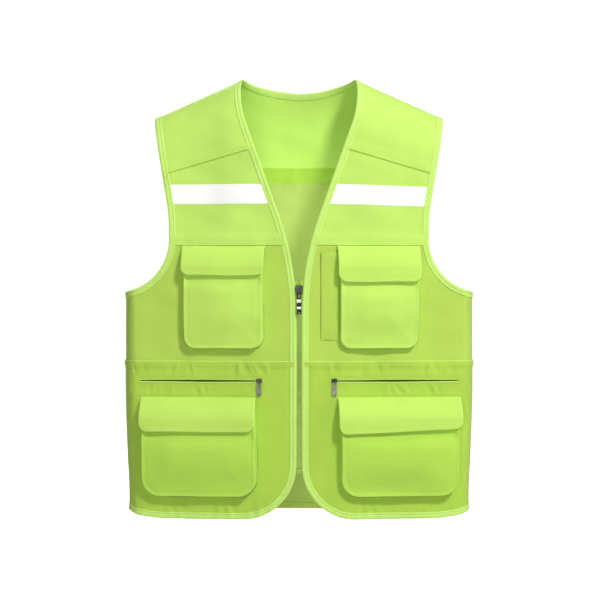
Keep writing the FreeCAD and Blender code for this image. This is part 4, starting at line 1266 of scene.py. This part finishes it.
for side, sign in SIDES.items():
    def upright(along, wide, out, sign=sign):
        return on_front(wide, out, along, sign)

    coil("main_zip_coil_" + side, -608.0, -326.5, (1.75, -1.45), (1.65, 1.0), 2.0, 0.32, upright, COIL, "zip_coil",
         "main_zip_teeth_" + side, 0.0 if sign > 0 else 1.0)
    sheets = flat_strip(((-608.0, -320.0), (2.6, 16.2), (-2.55, -1.8)), upright)
    piece = finish(weave("main_zip_tape_cloth_" + side, sheets), ZIP_TAPE, "zip_tape", "main_zip_tape_" + side)
    cut_strip(piece, 288.0, 13.6, ["lower_panel_" + side])

    def level(along, wide, out, sign=sign):
        return on_front(along, out, wide, sign)

    pocket_tapes, start = [], SLIT_INNER[side] - 0.5
    for row, way in ((0, 1), (1, -1)):
        coil(f"pocket_zip_coil_{side}_{row}", start, 247.5, (SLIT + way * 1.35, -1.1), (1.35, 0.75), 1.8, 0.3, level,
             SLIT_COIL_PAINTED_SHADE, "zip_coil", "pocket_zip_teeth_" + side, row * 0.9)
        pocket_tapes += flat_strip(((start, 247.5), (SLIT + way * 2.2, SLIT + way * 11.1), (-1.8, -1.05)), level)
    piece = finish(weave("pocket_zip_tape_cloth_" + side, pocket_tapes), ZIP_TAPE,
                   "zip_tape", "pocket_zip_tape_" + side)
    cut_strip(piece, 247.5 - start, 17.8, ["lower_panel_" + side])

# %% [markdown]
# Behind each slit hangs a bag of thin lining. It lies nearly flat against the inside of the lower
# panel, a little fuller towards its foot, and dips back behind the slit to clear the slider.

# %% Zip pocket bags
def lining_bag(side, sign):
    low, high, bottom, top = SLIT_INNER[side] - 7.0, 250.5, -630.0, -460.0
    line, runs = u_outline(low, high, bottom, top, 12.0)
    fill = between(*runs)

    def place(face, u, v):
        spot = fill(u, v)
        edge = np.minimum(inside_distance(spot[:, 0], spot[:, 1], low, high, bottom, 12.0), top - spot[:, 1])
        full = 0.35 + 0.65 * smooth(-spot[:, 1], 470, 560)
        slack = 0.5 * swell(spot[:, 0], spot[:, 1], 60, 60.0) * smooth(edge, 0, 20)
        back = -2.6 - 4.6 * full * rounded_edge(edge, 26.0) + slack
        dip = 2.6 * np.exp(-((spot[:, 1] - SLIT) / 9.0) ** 2) * smooth(edge, 0, 7)
        out = np.where(face > 0, -2.3, back) - dip - 0.15 * (1 - rounded_edge(edge, 1.0)) * face
        return on_front(spot[:, 0], np.where(edge < 0.05, -2.45, out), spot[:, 1], sign), spot, 0 * u

    us, vs = stations(high - low, 4.0), stations(top - bottom, 4.0)
    sheets = two_faces(us, vs, place)
    piece = finish(weave("zip_pocket_bag_cloth_" + side, sheets), LINING, "lining", "zip_pocket_bag_" + side)
    cut_from(piece, runs, on=["lower_panel_" + side])


for side, sign in SIDES.items():
    lining_bag(side, sign)

# %% [markdown]
# The hardware keeps the shapes it was designed with. A copy of each is merged and given a small
# bevel, because cast and stamped metal has no sharp edges, and a bevel is what catches the light.

# %% Metal and moulded parts
def softened(node, name, width, material_used, slot, body):
    """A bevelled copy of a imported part."""
    bm = bmesh.new()
    bm.from_mesh(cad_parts[node].data)
    bmesh.ops.remove_doubles(bm, verts=bm.verts[:], dist=1e-6)
    bmesh.ops.dissolve_limit(bm, angle_limit=math.radians(2), verts=bm.verts[:], edges=bm.edges[:])
    sharp = [edge for edge in bm.edges if len(edge.link_faces) == 2 and edge.calc_face_angle(0) > math.radians(40)]
    bmesh.ops.bevel(bm, geom=sharp, offset=width / 1000, offset_type="OFFSET", affect="EDGES", segments=2, profile=0.5,
                    material=-1, clamp_overlap=True)
    return finish(piece_from(bm, name, body, smooth_shaded=False), material_used, slot, node)


softened("main_zip_slider", "main_zip_slider_cast", 0.25, DARK_METAL, "dark_metal", "main_zip_slider")
softened("main_zip_pull", "main_zip_pull_cast", 0.2, BANDED, "bright_metal", "main_zip_pull")
for side in SIDES:
    slider, pull = "pocket_zip_slider_" + side, "pocket_zip_pull_" + side
    softened(slider, "pocket_zip_slider_cast_" + side, 0.2, DARK_METAL, "dark_metal", slider)
    # Painted light: the left pull takes the lighter copy of the metal and the right one the darker copy.
    metal = PULL_METAL_PAINTED_LIT if side == "left" else PULL_METAL_PAINTED_SHADE
    softened(pull, "pocket_zip_pull_cast_" + side, 0.2, metal, "bright_metal", pull)
softened("main_zip_retaining_box", "main_zip_retaining_box_moulded", 0.3, NYLON, "zip_plastic", "vest")
softened("main_zip_insertion_pin", "main_zip_insertion_pin_moulded", 0.2, NYLON, "zip_plastic", "vest")
softened("main_zip_top_stops", "main_zip_top_stops_moulded", 0.3, NYLON, "zip_plastic", "vest")

# %% [markdown]
# A room of soft light suits pale cloth: an even, slightly warm surround, one lamp high on the right
# that gives the folds their shape, and a pale floor well below the hem. The surround and the floor
# look whiter than the light that they give, so that the cloth keeps its shading. Two small hidden
# lamps inside the vest lift the inside of its back, which the others hardly reach.

# %% Floor, light and camera
def stage_floor():
    bm = bmesh.new()
    bmesh.ops.create_grid(bm, x_segments=1, y_segments=1, size=9.0, matrix=Matrix.Translation((0, 0, -0.86)))
    floor = piece_from(bm, "floor")
    made, start, link = material("floor_paint", (0.5, 0.5, 0.5), Roughness=0.9, Emission_Strength=1.0)
    seen = start.node("ShaderNodeLightPath", output=0)
    link("Emission Color", seen.mixed((0.05, 0.05, 0.05, 1), (1, 1, 1, 1)))
    floor.data.materials.append(made)


def lamp(name, place, aim, size, power):
    light = bpy.data.lights.new(name, "AREA")
    light.shape, light.size, light.energy = "DISK", size, power
    holder = bpy.data.objects.new(name, light)
    bpy.context.scene.collection.objects.link(holder)
    holder.location = place
    holder.rotation_euler = (Vector(aim) - Vector(place)).to_track_quat("-Z", "Y").to_euler()
    return holder


stage_floor()
lamp("key", (1.2, -2.2, 1.6), (0, 0, -0.3), 0.55, 60.0)
lamp("top", (0.0, -0.4, 2.4), (0, 0, -0.3), 1.6, 12.0)
lamp("front", (-0.6, -3.3, 0.1), (0, 0, -0.3), 1.2, 16.0)
lamp("side", (2.6, -0.5, 0.1), (0, 0, -0.3), 1.0, 9.0)
lamp("rear", (-0.9, 2.6, 1.2), (0, 0, -0.3), 1.2, 58.0)
inner = lamp("inner", (0, -0.02, -0.27), (0, 1, -0.2), 0.26, 0.11)
low_inner = lamp("low_inner", (0, -0.02, -0.62), (0, 1, -0.75), 0.2, 0.05)
inner.visible_camera = low_inner.visible_camera = False
world = bpy.data.worlds.new("studio")
world.use_nodes = True
bpy.context.scene.world = world
surround = Socket(world.node_tree, world.node_tree.nodes["Background"].inputs["Color"])
seen = surround.node("ShaderNodeLightPath", output=0)
world.node_tree.links.new(seen.mixed((0.215, 0.21, 0.165, 1), (1.05, 1.05, 1.05, 1)).socket, surround.socket)
bpy.context.scene.view_settings.view_transform = "Standard"

camera = bpy.data.objects.new("camera", bpy.data.cameras.new("camera"))
bpy.context.scene.collection.objects.link(camera)
camera.location = (0.0015, -2.25, -0.349)
camera.rotation_euler = (math.pi / 2, 0, 0)
camera.data.lens = 85.0
camera.data.sensor_width = 36.0
bpy.context.scene.camera = camera
